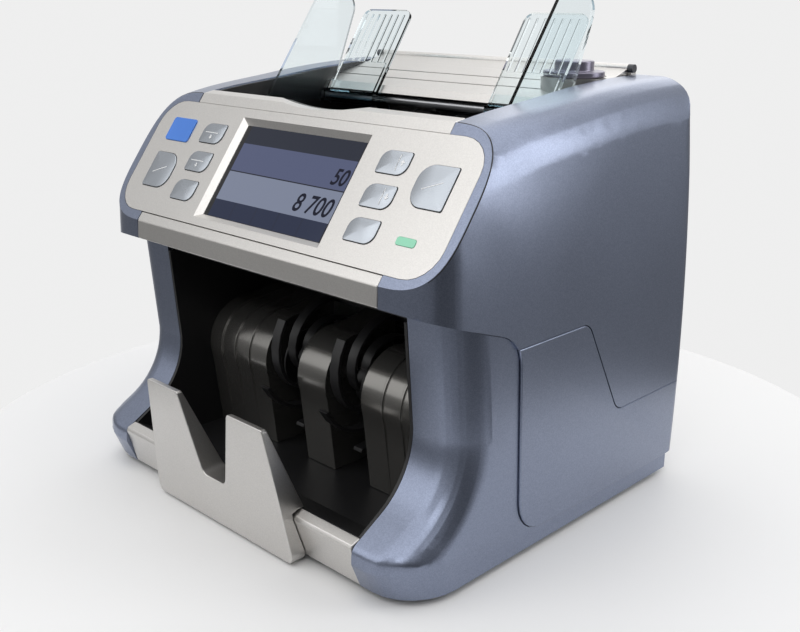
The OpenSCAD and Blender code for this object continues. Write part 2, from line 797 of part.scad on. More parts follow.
module pocket_wall() {
  difference() {
    polygon(concat([[cheek_top.x, cheek_top.y - 3]], [[cheek_y, arc_z]], arc(arc_c, arc_r, 0, -arc_end, 8),
      [bar_top + [0.3, -0.3], bar_top + [0.3, -2.6], [floor_knee, pocket_floor], [pocket_back, pocket_floor],
        [pocket_back, chute_z - 8], [chute_y - 8, chute_z - 8], [chute_y, chute_z + 6], [chute_y - 10, chute_z + 4],
        [ceiling_end, head_low(ceiling_end) - 1], [cheek_y, head_low(cheek_y) - 1]]));
    translate(stack_c) circle(r = shaft_r + 2);
  }
}

module stacker_pocket() {
  color(black) {
    along_x(pocket_x - pocket_t, pocket_x) pocket_wall();
    along_x(-pocket_x, -pocket_x + pocket_t) pocket_wall();
    along_x(-pocket_x + 1, pocket_x - 1) {
      polygon([bar_top + [0.3, -0.3], [floor_knee + 1, pocket_floor + pocket_t], [pocket_back, pocket_floor + pocket_t],
        [pocket_back, pocket_floor], [floor_knee, pocket_floor], bar_top + [0.3, -2.6]]);
      polygon([[cheek_y, head_low(cheek_y) - 1], [ceiling_end, head_low(ceiling_end) - 1],
        [ceiling_end, head_low(ceiling_end) - 3], [cheek_y, head_low(cheek_y) - 3]]);
      polygon([[pocket_back + 2, chute_z - 6], [chute_y - 10, chute_z - 6], [chute_y - 2, chute_z + 5],
        [chute_y, chute_z + 5], [chute_y - 8.5, chute_z - 8], [pocket_back + 2, chute_z - 8]]);
    }
  }
}

drum_foot = [stack_c.x - 20, pocket_floor + pocket_t + 0.2];
drum_tail = [pocket_back - 2, chute_z - 4];
drum_a0 = 78;
drum_a1 = 200;

module drum_skin(r) {
  polygon(concat([drum_tail], arc(stack_c, r, drum_a0, drum_a1, 12), [drum_foot, drum_foot + [drum_t, 0]],
    arc(stack_c, drum_r - drum_t, drum_a1, drum_a0, 12), [drum_tail - [0, drum_t]]));
}

module drum_end() {
  difference() {
    polygon(concat([drum_tail], arc(stack_c, drum_r, drum_a0, drum_a1, 12),
      [drum_foot, [drum_tail.x - 4, drum_foot.y], drum_tail - [0, drum_t]]));
    translate(stack_c) circle(r = shaft_r + 2);
  }
}

module side_drum() {
  end = pocket_x - pocket_t - 0.3;
  along_x(drum_side, end) drum_skin(drum_r);
  along_x(drum_side, drum_side + drum_t) drum_end();
  for (x = [drum_side + 16, drum_side + 30, drum_side + 44]) along_x(x, x + 1.6) drum_skin(drum_r + 0.9);
}

module side_drum_covers() {
  color(drum_grey) {
    side_drum();
    mirror_left() side_drum();
  }
}

module centre_drum_cover() {
  color(drum_grey) {
    along_x(-drum_mid, drum_mid) drum_skin(drum_r);
    along_x(-drum_mid, -drum_mid + drum_t) drum_end();
    along_x(drum_mid - drum_t, drum_mid) drum_end();
  }
}

blade_t = 2.2;
blade_sweep = 125;
hub_r = 13;
blade_phase = 194;

module blade(a) {
  n = 10;
  r1 = wheel_r - blade_t;
  curve = [for (i = [0:n]) let (r = hub_r - 3 + (r1 - hub_r + 3) * i / n, t = a - blade_sweep * i / n) [r, t]];
  polygon(concat([for (c = curve) (c[0] + blade_t) * [cos(c[1]), sin(c[1])]],
    [for (i = [n:-1:0]) curve[i][0] * [cos(curve[i][1]), sin(curve[i][1])]]));
}

module stacker_wheel() {
  along_x(wheel_x - finger_w / 2, wheel_x + finger_w / 2) translate(stack_c) difference() {
    union() {
      circle(r = hub_r);
      for (i = [0:fingers - 1]) blade(blade_phase + 360 * i / fingers);
    }
    circle(r = shaft_r + run_gap);
  }
  along_x(wheel_x + finger_w / 2 - 0.5, wheel_x + finger_w / 2 + 5) translate(stack_c) difference() {
    circle(r = 9);
    circle(r = shaft_r + run_gap);
  }
  along_x(wheel_x + finger_w / 2 + 3.5, wheel_x + finger_w / 2 + 5) translate(stack_c) difference() {
    circle(r = 19);
    circle(r = shaft_r + run_gap);
  }
}

module stacker_wheels() {
  color(black) {
    stacker_wheel();
    mirror_left() stacker_wheel();
  }
}

// Pulley fused to its shaft
module pulley(c, r, x) {
  x_rod(c, r - belt_gap, x, x + belt_w);
}

module stacker_shaft() {
  color(steel) {
    x_rod(stack_c, shaft_r, -shaft_left, belt_b + belt_w);
    pulley(stack_c, pulley_l, belt_b);
  }
}

// Hopper

function tray_top(y) = top_at(y) - 1;
tray_end = feed_y + 4;
pickup_x = [-30, 30];
pickup_w = 18;
roller_x = [-60, -18, 18, 60];
roller_w = 14;

module tray_side() {
  y1 = rear_panel_end;
  difference() {
    polygon(concat([[tray_y, floor_at(tray_y) - tray_t]],
      [for (i = [0:6]) let (y = tray_y + (y1 - tray_y) * i / 6) [y, tray_top(y)]],
      [[y1, rear_panel_z - 14], [tray_end, floor_at(tray_end) - tray_t]]));
    translate(rod_c) circle(r = rod_r + run_gap);
  }
}

module hopper_tray() {
  color(black) difference() {
    union() {
      along_x(tray_w - tray_wall, tray_w) tray_side();
      along_x(-tray_w, -tray_w + tray_wall) tray_side();
      along_x(-tray_w + 1, tray_w - 1) {
        polygon([[tray_y, floor_at(tray_y)], [tray_end, floor_at(tray_end)], [tray_end, floor_at(tray_end) - tray_t],
          [tray_y, floor_at(tray_y) - tray_t]]);
        polygon([[tray_y, floor_at(tray_y) - tray_t], [tray_y, tray_top(tray_y)], [tray_y + tray_t, tray_top(tray_y)],
          [tray_y + tray_t, floor_at(tray_y) - tray_t]]);
      }
    }
    for (x = pickup_x) x_rod(pickup_c, pickup_r + 1, x - pickup_w / 2 - 1, x + pickup_w / 2 + 1);
    for (x = roller_x) x_rod(feed_c, roller_r + 1, x - roller_w / 2 - 1, x + roller_w / 2 + 1);
    translate([0, 15, 0]) finger_dip();
  }
}

seat_z = slope_z(knob_c.y) + 3.5;
seat_r = knob_skirt_r + 1;
bracket_z = retard_c.y + 3;
bracket_t = 2.5;
bracket_top = bracket_z + bracket_t;
bracket_arm_x = 28;
bracket_end = knob_c.x + 8;
pivot_c = [knob_c.y + 13, bracket_z + bracket_t / 2];
pivot_r = 2.5;
lug_t = 3;
lug_gap = 2.5;
lug_x = [-bracket_arm_x - 2 - lug_gap - lug_t, bracket_end + lug_gap];
cam_gap = 0.3;
panel_w = tray_w - tray_wall - 0.25;

module pivot_lug() {
  polygon([[pivot_c.x - 5, slope_z(pivot_c.x - 5) - 1], [pivot_c.x + 5, slope_z(pivot_c.x + 5) - 1],
    [pivot_c.x + 5, pivot_c.y - 4], [pivot_c.x - 5, pivot_c.y - 4]]);
}

panel_fall = 4.5;
panel_front = [rear_panel_y - panel_fall * tan(guide_lean), rear_panel_z - panel_fall];
fin_gap = 0.5;
knob_front = [knob_c.y - knob_skirt_r - 0.8, seat_z + 3.5];

module hopper_rear_panel() {
  color(silver) difference() {
    union() {
      along_x(-panel_w, panel_w) polygon([[rear_panel_y, rear_panel_z], [rear_panel_end - 10, slope_z(rear_panel_end - 10)],
        [rear_panel_end, slope_z(rear_panel_end) + 1], [rear_panel_end, slope_z(rear_panel_end) - wall],
        [rear_panel_y + 2, rear_panel_z - wall + 0.5], [panel_front.x + wall, panel_front.y], panel_front]);
      translate([knob_c.x, knob_c.y, seat_z - 9]) cylinder(r = seat_r, h = 9);
      for (x = lug_x) along_x(x, x + lug_t) pivot_lug();
    }
    x_rod(pivot_c, pivot_r + run_gap, lug_x[0] - 1, lug_x[1] + lug_t + 1);
    for (y = [rear_panel_y + 13, rear_panel_y + 27])
      translate([-panel_w - 1, y, slope_z(y) - 0.8]) cube([2 * panel_w + 2, 1.4, 3]);
    translate([knob_c.x, knob_c.y, seat_z]) cylinder(r = seat_r + 0.4, h = 20);
    translate([knob_c.x, knob_c.y, seat_z - 20]) cylinder(r = knob_screw_r + run_gap, h = 40);
  }
}

guide_base = [rear_panel_y - 0.6, rear_panel_z];
guide_up = 53;
guide_foot_y = rod_c.x - 14.5;

module guide_plate_shape() {
  polygon(rounded([[guide_in, -8, 0], [guide_out, -8, 0], [guide_out, guide_up, 6], [guide_in, guide_up, 6]]));
}

module fin_shape() {
  lean = guide_lean + 2;
  foot = [fin_foot_y, rear_panel_z - 11];
  tip = foot + (fin_top - foot.y) * [tan(lean), 1];
  back = tip + 30 * [cos(lean), -sin(lean)];
  steep = (back.x - knob_front.x) / (back.y - knob_front.y);
  over = knob_front.x - steep * (knob_front.y - slope_z(knob_front.x));
  polygon(rounded([[foot.x, foot.y, 3], [panel_front.x - fin_gap, foot.y, 0],
    [panel_front.x - fin_gap, panel_front.y, 0], [rear_panel_y - fin_gap, rear_panel_z + fin_gap, 0],
    [over, slope_z(over) + fin_gap, 0], [back.x, back.y, 10], [tip.x, tip.y, 8]]));
}

module right_guide() {
  foot_z = rod_c.y - guide_foot_h / 2;
  color(clear_blue) difference() {
    union() {
      translate([0, guide_base.x, guide_base.y]) rotate([-guide_lean, 0, 0]) rotate([90, 0, 0]) {
        linear_extrude(guide_t) guide_plate_shape();
        for (i = [0:6]) translate([guide_in + 4 + i * (guide_out - guide_in - 9) / 6, -6, 0])
          cube([1, guide_up + 2, guide_t + 0.8]);
        translate([guide_in + 1.5, -8, 0]) cube([guide_out - guide_in - 3, 22, guide_t + 1.2]);
      }
      along_x(fin_x - guide_t / 2, fin_x + guide_t / 2) fin_shape();
      translate([guide_in, guide_foot_y, foot_z]) cube([fin_x - guide_in, 19, guide_foot_h]);
    }
    x_rod(rod_c, rod_r + run_gap, guide_in - 5, fin_x + 5);
  }
}

module left_guide() {
  mirror_left() right_guide();
}

module guide_rod() {
  color(steel) x_rod(rod_c, rod_r, -frame_in, frame_in);
}

module gap_knob() {
  color([0.6, 0.57, 0.65]) translate([knob_c.x, knob_c.y, 0]) {
    translate([0, 0, seat_z + 0.3]) cylinder(r = knob_skirt_r, h = 3.2);
    translate([0, 0, seat_z + 3]) cylinder(r = knob_r, h = 6.2);
    translate([0, 0, bracket_top + cam_gap]) cylinder(r = knob_screw_r, h = seat_z - bracket_top);
  }
}

module bracket_arm() {
  difference() {
    polygon([[retard_c.x - 5, retard_c.y - 5], [retard_c.x - 5, retard_c.y + 4], [retard_c.x + 8, bracket_top],
      [pivot_c.x - 2, bracket_top], [pivot_c.x - 2, bracket_z], [retard_c.x + 9, bracket_z - 8]]);
    translate(retard_c) circle(r = 2.5 + run_gap);
  }
}

module retard_bracket() {
  y0 = retard_c.x + retard_r + 2;
  color(steel) {
    for (x = [-bracket_arm_x - 2, bracket_arm_x]) along_x(x, x + 2) bracket_arm();
    translate([-bracket_arm_x - 2, y0, bracket_z])
      cube([bracket_arm_x + 2 + bracket_end, pivot_c.x - y0, bracket_t]);
    x_rod(pivot_c, pivot_r, lug_x[0] - 2, lug_x[1] + lug_t + 2);
  }
}

module retard_rollers() {
  color(rubber) {
    x_rod(retard_c, 2.5, -32, 32);
    for (x = [-18, 18]) x_rod(retard_c, retard_r, x - roller_w / 2, x + roller_w / 2);
  }
}

// Driven shafts

module tyre(c, r, x, w) {
  along_x(x - w / 2, x + w / 2) translate(c) difference() {
    circle(r = r);
    circle(r = shaft_r + run_gap);
  }
}

module pickup_shaft() {
  color(steel) {
    x_rod(pickup_c, shaft_r, -shaft_left, belt_b + belt_w);
    pulley(pickup_c, pulley_s, belt_b);
  }
}

module pickup_rollers() {
  color(rubber) for (x = pickup_x) tyre(pickup_c, pickup_r, x, pickup_w);
}

module feed_shaft() {
  color(steel) {
    x_rod(feed_c, shaft_r, -shaft_left, belt_c + belt_w);
    pulley(feed_c, pulley_s, belt_b);
    pulley(feed_c, pulley_s, belt_c);
  }
}

module feed_rollers() {
  color(rubber) for (x = roller_x) tyre(feed_c, roller_r, x, roller_w);
}

module drive_shaft() {
  color(steel) {
    x_rod(drive_c, shaft_r, -shaft_left, belt_c + belt_w);
    pulley(drive_c, pulley_l, belt_a);
    pulley(drive_c, pulley_s, belt_b);
    pulley(drive_c, pulley_s, belt_c);
  }
}

module drive_rollers() {
  color(rubber) for (x = roller_x) tyre(drive_c, roller_r, x, roller_w);
}

module pinch_rollers() {
  color(rubber) {
    x_rod(pinch_c, shaft_r, -shaft_left + 1, shaft_left - 1);
    for (x = roller_x) x_rod(pinch_c, pinch_r, x - roller_w / 2, x + roller_w / 2);
  }
}

scan_gap = 3;
scan_d = 14;
scan_z = drive_c.y + roller_r + 1.2;
scan_h = 18;

module scanner_bars() {
  color(black) for (y = [path_y - scan_gap - scan_d, path_y + scan_gap])
    translate([-frame_in, y, scan_z]) cube([2 * frame_in, scan_d, scan_h]);
}

// Side frames

rod_list = [[cheek_y + 26, 150], [pickup_y + 12, 150], [y_rear - 29.5, 100], [pocket_back + 10, 25]];
base_top = base_z + base_t;

module frame_side() {
  y0 = frame_front;
  y1 = frame_back;
  difference() {
    polygon([[y0, base_top], [y1, base_top], [y1, 205], [y1 - 10, 224], [tray_y + 14, 224], [tray_y + 2, 200], [y0, 160]]);
    for (c = shaft_list) translate(c) circle(r = bearing_r + run_gap);
    translate([stack_c.x + 30, 148]) circle(r = 16);
    translate([y_rear - 40, 160]) circle(r = 18);
    translate([stack_c.x + 10, 150]) translate([-32, 20]) circle(r = 11);
  }
}

module frame_foot() {
  translate([frame_in, frame_front, base_top]) cube([12, frame_back - frame_front, frame_t]);
}

module right_frame() {
  color(steel) difference() {
    union() {
      along_x(frame_in, frame_x) frame_side();
      frame_foot();
    }
    x_rod(motor_c, motor_shaft_r + 5, frame_in - 10, frame_x + 15);
  }
}

module left_frame() {
  color(steel) mirror_left() {
    along_x(frame_in, frame_x) frame_side();
    frame_foot();
  }
}

module tie_rods() {
  color(steel) for (c = rod_list) x_rod(c, 4, -frame_in, frame_in);
}

module shaft_bearings() {
  color(steel) for (c = shaft_list, x = [-frame_x - 1, frame_in - 1])
    along_x(x, x + bearing_w) translate(c) difference() {
      circle(r = bearing_r);
      circle(r = shaft_r + run_gap);
    }
}

// Drive

motor_shaft_r = 3;
motor_l = 56;
motor_bore = 24;

module drive_motor() {
  color(steel) difference() {
    union() {
      x_rod(motor_c, 19, frame_in - 2 - motor_l, frame_in - 2);
      translate([frame_in - 3, motor_c.x - 20, motor_c.y - 20]) cube([3, 40, 40]);
    }
    x_rod(motor_c, motor_shaft_r + run_gap, frame_in - motor_bore, frame_x);
  }
}

module motor_pulley() {
  color(steel) {
    x_rod(motor_c, motor_shaft_r, frame_in - motor_bore + 1, belt_a + belt_w + 1);
    pulley(motor_c, motor_pulley_r, belt_a);
  }
}

// Closed belt outline round two pulleys
function belt_line(c1, r1, c2, r2) =
  let (v = c2 - c1, a = atan2(v.y, v.x), b = acos((r1 - r2) / norm(v)))
  concat(arc(c1, r1, a + b, a + 360 - b, 16), arc(c2, r2, a - b, a + b, 16));

module belt(c1, r1, c2, r2, x) {
  along_x(x + 0.2, x + belt_w - 0.2) difference() {
    polygon(belt_line(c1, r1 + belt_t, c2, r2 + belt_t));
    polygon(belt_line(c1, r1, c2, r2));
  }
}

module timing_belts() {
  color(rubber) {
    belt(motor_c, motor_pulley_r, drive_c, pulley_l, belt_a);
    belt(drive_c, pulley_s, stack_c, pulley_l, belt_b);
    belt(feed_c, pulley_s, pickup_c, pulley_s, belt_b);
    belt(drive_c, pulley_s, feed_c, pulley_s, belt_c);
  }
}

// Electronics

module main_board() {
  x = -frame_x - 12;
  color([0.1, 0.3, 0.2]) {
    translate([x, -20, 30]) cube([board_t, 110, 90]);
    for (y = [-12, 82], z = [38, 112]) x_rod([y, z], 3, x + 1, -frame_x);
    translate([x - 3, 10, 60]) cube([3.5, 24, 24]);
    translate([x - 6, 60, 50]) cube([6.5, 14, 30]);
  }
}

module power_supply() {
  color(steel) translate([-25, path_y - 9, base_top]) cube([63, 51, 37]);
}

module base_plate() {
  half = cheek_w - wall - 0.4;
  front = bar_foot.x + bar_wall + 1.2;
  back = y_rear - 10 - wall - 0.4;
  color(steel) translate([0, 0, base_z]) linear_extrude(base_t) difference() {
    polygon(rounded([[-half, front, 28], [half, front, 28], [half, back, 5], [-half, back, 5]]));
    for (i = [-4:4]) translate([i * 9 - 60, 10]) square([4, 40]);
  }
}

module rubber_feet() {
  color(rubber) for (x = [-hw + 28, hw - 28], y = [y_front + 55.5, y_rear - 29.5])
    translate([x, y, 0]) cylinder(r1 = foot_r - 1, r2 = foot_r, h = base_z);
}

// Rear

inlet_w = 62;
inlet_x = [10 - mx, 10 - mx + inlet_w];
inlet_z = [24, 48];
rocker_x = [inlet_x[1] - 27, inlet_x[1] - 7];
rocker_c = [y_rear - 8.5, (inlet_z[0] + inlet_z[1]) / 2];
rocker_tilt = 8;
rocker_pin = 1.2;
plug_x = [inlet_x[0] + 3, inlet_x[0] + 27];
inlet_face = rear_at(inlet_z[1]) - 0.9;

module power_inlet() {
  deep = 22;
  color(black) difference() {
    translate([inlet_x[0], inlet_face - deep, inlet_z[0]])
      cube([inlet_x[1] - inlet_x[0], deep, inlet_z[1] - inlet_z[0]]);
    difference() {
      translate([plug_x[0], inlet_face - 18, inlet_z[0] + 4]) cube([plug_x[1] - plug_x[0], 20, 16]);
      for (x = [-7, 0, 7]) translate([(plug_x[0] + plug_x[1]) / 2 + x - 1, inlet_face - 20, rocker_c.y - 2 + (x == 0 ? 3 : -1)])
        cube([2, 16, 4]);
    }
    translate([rocker_x[0] - 0.4, inlet_face - 14, rocker_c.y - 7.6]) cube([rocker_x[1] - rocker_x[0] + 0.8, 20, 15.2]);
    x_rod(rocker_c, rocker_pin + run_gap, rocker_x[0] - 2.4, rocker_x[1] + 2.4);
  }
}

module power_switch() {
  color(black) translate([0, rocker_c.x, rocker_c.y]) rotate([rocker_tilt, 0, 0]) {
    along_x(rocker_x[0], rocker_x[1]) polygon([[-3.5, -5], [6.2, -6], [5, 0], [6.2, 6], [-3.5, 5]]);
    x_rod([0, 0], rocker_pin, rocker_x[0] - 2.2, rocker_x[1] + 2.2);
  }
}

fixed_knuckles = [60, 72];
pin_reach = 10;

module back_panel() {
  top = hinge_c.y - knuckle_r - 0.4;
  rim = y_rear - 10;
  color(silver) difference() {
    union() {
      along_x(-pocket_x, pocket_x) {
        polygon(concat(rear_line(side_foot, top, 0), rear_line(top, side_foot, wall)));
        polygon([[rim - wall, side_foot], [rear_at(side_foot), side_foot], [rear_at(side_foot + wall), side_foot + wall],
          [rim - wall, side_foot + wall]]);
        polygon([[rim - wall, ground_gap], [rim, ground_gap], [rim, side_foot + 1], [rim - wall, side_foot + 1]]);
      }
      for (side = [0, 1]) mirror([side, 0, 0]) {
        x_rod(hinge_c, knuckle_r - 0.1, fixed_knuckles[0] + seam, fixed_knuckles[1] - seam);
        translate([fixed_knuckles[0] + seam, hinge_c.x - knuckle_r + 0.3, top - 5])
          cube([fixed_knuckles[1] - fixed_knuckles[0] - 2 * seam, 2 * knuckle_r - 1.1, hinge_c.y - top + 5]);
        x_rod(hinge_c, hinge_pin_r, fixed_knuckles[0] - pin_reach, fixed_knuckles[1] + pin_reach);
      }
    }
    translate([inlet_x[0] - trim_gap, y_rear - 40, inlet_z[0] - trim_gap])
      cube([inlet_x[1] - inlet_x[0] + 2 * trim_gap, 60, inlet_z[1] - inlet_z[0] + 2 * trim_gap]);
    for (i = [0:7]) translate([24 + i * 7, y_rear - 20, 22]) cube([3, 40, 26]);
  }
}

door_ridge_y = rear_panel_end + 0.3;

module rear_door() {
  low = hinge_c.y;
  high = slope_z(rear_panel_end) - 6;
  color(silver) difference() {
    union() {
      along_x(-pocket_x, pocket_x) {
        polygon(concat(rear_line(low, high + 2, 0, 10), rear_line(high + 2, low, wall, 10)));
        polygon(rounded([[door_ridge_y, high, 0], [rear_at(high), high, 0], [rear_at(ridge_z), ridge_z, 2],
          [door_ridge_y, ridge_z, 2]], 4));
        translate(hinge_c) circle(r = knuckle_r);
      }
      for (x = [-70, 0, 70]) along_x(x - 1, x + 1)
        polygon(concat(rear_line(low + 12, high, 1, 10), rear_line(high, low + 12, wall + 5, 10)));
    }
    for (side = [0, 1]) mirror([side, 0, 0]) {
      translate([fixed_knuckles[0], hinge_c.x - 6, low - 6]) cube([fixed_knuckles[1] - fixed_knuckles[0], 12, 9]);
      x_rod(hinge_c, hinge_pin_r + run_gap, fixed_knuckles[0] - pin_reach - 0.5, fixed_knuckles[1] + pin_reach + 0.5);
    }
  }
}

base_plate();
rubber_feet();
left_cheek();
right_cheek();
left_upper_cover();
right_upper_cover();
left_side_panel();
right_side_panel();
front_bar();
stacker_plate();
control_panel();
front_lip();
top_trim();
display_glass();
display_module();
status_lens();
emblem_tile();
key_board();
currency_key();
batch_key();
add_key();
back_key();
mode_key();
menu_key();
report_key();
start_key();
stacker_pocket();
side_drum_covers();
centre_drum_cover();
stacker_shaft();
stacker_wheels();
hopper_tray();
hopper_rear_panel();
left_guide();
right_guide();
guide_rod();
gap_knob();
retard_bracket();
retard_rollers();
pickup_shaft();
pickup_rollers();
feed_shaft();
feed_rollers();
drive_shaft();
drive_rollers();
pinch_rollers();
scanner_bars();
left_frame();
right_frame();
tie_rods();
shaft_bearings();
drive_motor();
motor_pulley();
timing_belts();
main_board();
power_supply();
power_inlet();
power_switch();
back_panel();
rear_door();
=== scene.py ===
import bpy
import bmesh
import json
import math
from mathutils import Matrix, Vector

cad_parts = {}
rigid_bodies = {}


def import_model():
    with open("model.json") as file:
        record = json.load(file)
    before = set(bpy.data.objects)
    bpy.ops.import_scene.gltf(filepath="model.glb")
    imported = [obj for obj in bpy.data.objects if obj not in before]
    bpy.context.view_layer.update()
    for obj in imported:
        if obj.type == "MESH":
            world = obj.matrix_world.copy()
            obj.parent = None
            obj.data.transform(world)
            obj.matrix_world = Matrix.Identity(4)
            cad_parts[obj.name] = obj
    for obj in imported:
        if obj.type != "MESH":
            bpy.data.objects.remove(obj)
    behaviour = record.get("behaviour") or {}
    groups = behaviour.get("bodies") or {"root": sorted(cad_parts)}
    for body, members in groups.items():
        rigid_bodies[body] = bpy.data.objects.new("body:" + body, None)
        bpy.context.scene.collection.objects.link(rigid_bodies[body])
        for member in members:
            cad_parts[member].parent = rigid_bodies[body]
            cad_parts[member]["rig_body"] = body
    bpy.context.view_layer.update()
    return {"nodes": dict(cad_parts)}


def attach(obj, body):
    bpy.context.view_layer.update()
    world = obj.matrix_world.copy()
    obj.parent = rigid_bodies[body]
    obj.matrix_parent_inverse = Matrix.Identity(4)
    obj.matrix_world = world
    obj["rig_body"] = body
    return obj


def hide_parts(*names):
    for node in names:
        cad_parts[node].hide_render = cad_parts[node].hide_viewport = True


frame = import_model()
mm = 0.001
print("frame loaded with", len(frame["nodes"]), "nodes")


# Camera at the photograph's place, for an image of 800 by 632
cameraSet = {
    "lens": 46.18,
    "sensor": 36.0,
    "place": (0.4280, -0.4135, 0.2849),
    "look": (-0.6675, 0.6813, -0.3005),
    "up": (-0.2134, 0.2116, 0.9538),
    "far": 20,
}


def linkNew(name, data):
    obj = bpy.data.objects.new(name, data)
    bpy.context.scene.collection.objects.link(obj)
    return obj


def makeCamera():
    data = bpy.data.cameras.new("photoCamera")
    data.lens = cameraSet["lens"]
    data.sensor_width = cameraSet["sensor"]
    data.sensor_fit = "HORIZONTAL"
    data.clip_end = cameraSet["far"]
    obj = linkNew("photoCamera", data)
    look = Vector(cameraSet["look"]).normalized()
    side = look.cross(Vector(cameraSet["up"])).normalized()
    up = side.cross(look)
    turn = Matrix((side, up, -look)).transposed().to_4x4()
    obj.matrix_world = Matrix.Translation(cameraSet["place"]) @ turn
    bpy.context.scene.camera = obj


makeCamera()
print("camera set")


# Shader helpers

def newMaterial(name):
    mat = bpy.data.materials.new(name)
    mat.use_nodes = True
    return mat, mat.node_tree, mat.node_tree.nodes["Principled BSDF"]


def addNode(tree, kind, **values):
    node = tree.nodes.new(kind)
    for key, value in values.items():
        setattr(node, key, value)
    return node


def setInputs(node, **values):
    for key, value in values.items():
        node.inputs[key.replace("_", " ")].default_value = value


# A socket is linked, a plain value is set
def feed(tree, sock, value):
    if hasattr(value, "is_output"):
        tree.links.new(value, sock)
    else:
        sock.default_value = value


def newGroup(name, inputs, outputs):
    tree = bpy.data.node_groups.new(name, "ShaderNodeTree")
    for title, kind, value in inputs:
        sock = tree.interface.new_socket(title, in_out="INPUT", socket_type=kind)
        sock.default_value = value
    for title, kind in outputs:
        tree.interface.new_socket(title, in_out="OUTPUT", socket_type=kind)
    return tree, tree.nodes.new("NodeGroupInput"), tree.nodes.new("NodeGroupOutput")


def mathNode(tree, operation, a, b=0.0):
    node = addNode(tree, "ShaderNodeMath", operation=operation)
    feed(tree, node.inputs[0], a)
    feed(tree, node.inputs[1], b)
    return node.outputs[0]


def centred(tree, value):
    return mathNode(tree, "SUBTRACT", value, 0.5)


def mixColor(tree, fac, a, b, blend="MIX"):
    node = addNode(tree, "ShaderNodeMix", data_type="RGBA", blend_type=blend)
    for sock, value in ((node.inputs[0], fac), (node.inputs[6], a), (node.inputs[7], b)):
        feed(tree, sock, value)
    return node.outputs[2]


def mapRange(tree, value, low, high, outLow=0.0, outHigh=1.0):
    node = addNode(tree, "ShaderNodeMapRange", interpolation_type="SMOOTHSTEP")
    feed(tree, node.inputs["Value"], value)
    setInputs(node, From_Min=low, From_Max=high, To_Min=outLow, To_Max=outHigh)
    return node.outputs["Result"]


def objectNoise(tree, scale, detail):
    coord = addNode(tree, "ShaderNodeTexCoord")
    noise = addNode(tree, "ShaderNodeTexNoise")
    tree.links.new(coord.outputs["Object"], noise.inputs["Vector"])
    feed(tree, noise.inputs["Scale"], scale)
    noise.inputs["Detail"].default_value = detail
    return noise.outputs[0]


def scaledTint(tree, gin, level):
    grey = addNode(tree, "ShaderNodeCombineColor")
    for i in range(3):
        tree.links.new(level, grey.inputs[i])
    return mixColor(tree, 1.0, gin.outputs["Color"], grey.outputs[0], "MULTIPLY")


finishSockets = [("Color", "NodeSocketColor"), ("Roughness", "NodeSocketFloat"),
                 ("Height", "NodeSocketFloat")]
flakeSet = {"driftScale": 14.0, "driftDetail": 3.0, "drift": 0.08, "roughShare": 0.7}
grainSet = {"grainDetail": 2.0, "driftScale": 22.0, "driftDetail": 4.0}


# Fine metal flakes in lacquer, with a slow drift of tone
def makeFlakeGroup():
    tree, gin, gout = newGroup(
        "lacquerFlakes",
        [("Color", "NodeSocketColor", (0.5, 0.5, 0.5, 1)), ("Amount", "NodeSocketFloat", 0.12),
         ("Scale", "NodeSocketFloat", 2600.0), ("Roughness", "NodeSocketFloat", 0.35)],
        finishSockets,
    )
    coord = addNode(tree, "ShaderNodeTexCoord")
    flakes = addNode(tree, "ShaderNodeTexVoronoi", feature="F1")
    tree.links.new(coord.outputs["Object"], flakes.inputs["Vector"])
    tree.links.new(gin.outputs["Scale"], flakes.inputs["Scale"])
    spark = addNode(tree, "ShaderNodeSeparateColor")
    tree.links.new(flakes.outputs["Color"], spark.inputs[0])
    swing = mathNode(tree, "MULTIPLY", centred(tree, spark.outputs[0]), gin.outputs["Amount"])
    drift = objectNoise(tree, flakeSet["driftScale"], flakeSet["driftDetail"])
    slow = mathNode(tree, "MULTIPLY", centred(tree, drift), flakeSet["drift"])
    level = mathNode(tree, "ADD", mathNode(tree, "ADD", swing, slow), 1.0)
    tree.links.new(scaledTint(tree, gin, level), gout.inputs["Color"])
    change = mathNode(tree, "MULTIPLY", slow, flakeSet["roughShare"])
    tree.links.new(mathNode(tree, "ADD", gin.outputs["Roughness"], change), gout.inputs["Roughness"])
    tree.links.new(spark.outputs[1], gout.inputs["Height"])
    return tree


# Moulded plastic: slow tone drift and a fine eroded grain
def makeGrainGroup():
    tree, gin, gout = newGroup(
        "mouldGrain",
        [("Color", "NodeSocketColor", (0.5, 0.5, 0.5, 1)), ("Amount", "NodeSocketFloat", 0.1),
         ("Scale", "NodeSocketFloat", 1500.0), ("Roughness", "NodeSocketFloat", 0.4)],
        finishSockets,
    )
    grain = objectNoise(tree, gin.outputs["Scale"], grainSet["grainDetail"])
    drift = objectNoise(tree, grainSet["driftScale"], grainSet["driftDetail"])
    slow = mathNode(tree, "MULTIPLY", centred(tree, drift), gin.outputs["Amount"])
    level = mathNode(tree, "ADD", slow, 1.0)
    tree.links.new(scaledTint(tree, gin, level), gout.inputs["Color"])
    tree.links.new(mathNode(tree, "ADD", gin.outputs["Roughness"], slow), gout.inputs["Roughness"])
    tree.links.new(grain, gout.inputs["Height"])
    return tree


flakeGroup = makeFlakeGroup()
grainGroup = makeGrainGroup()
bumpDepth = 0.02 * mm


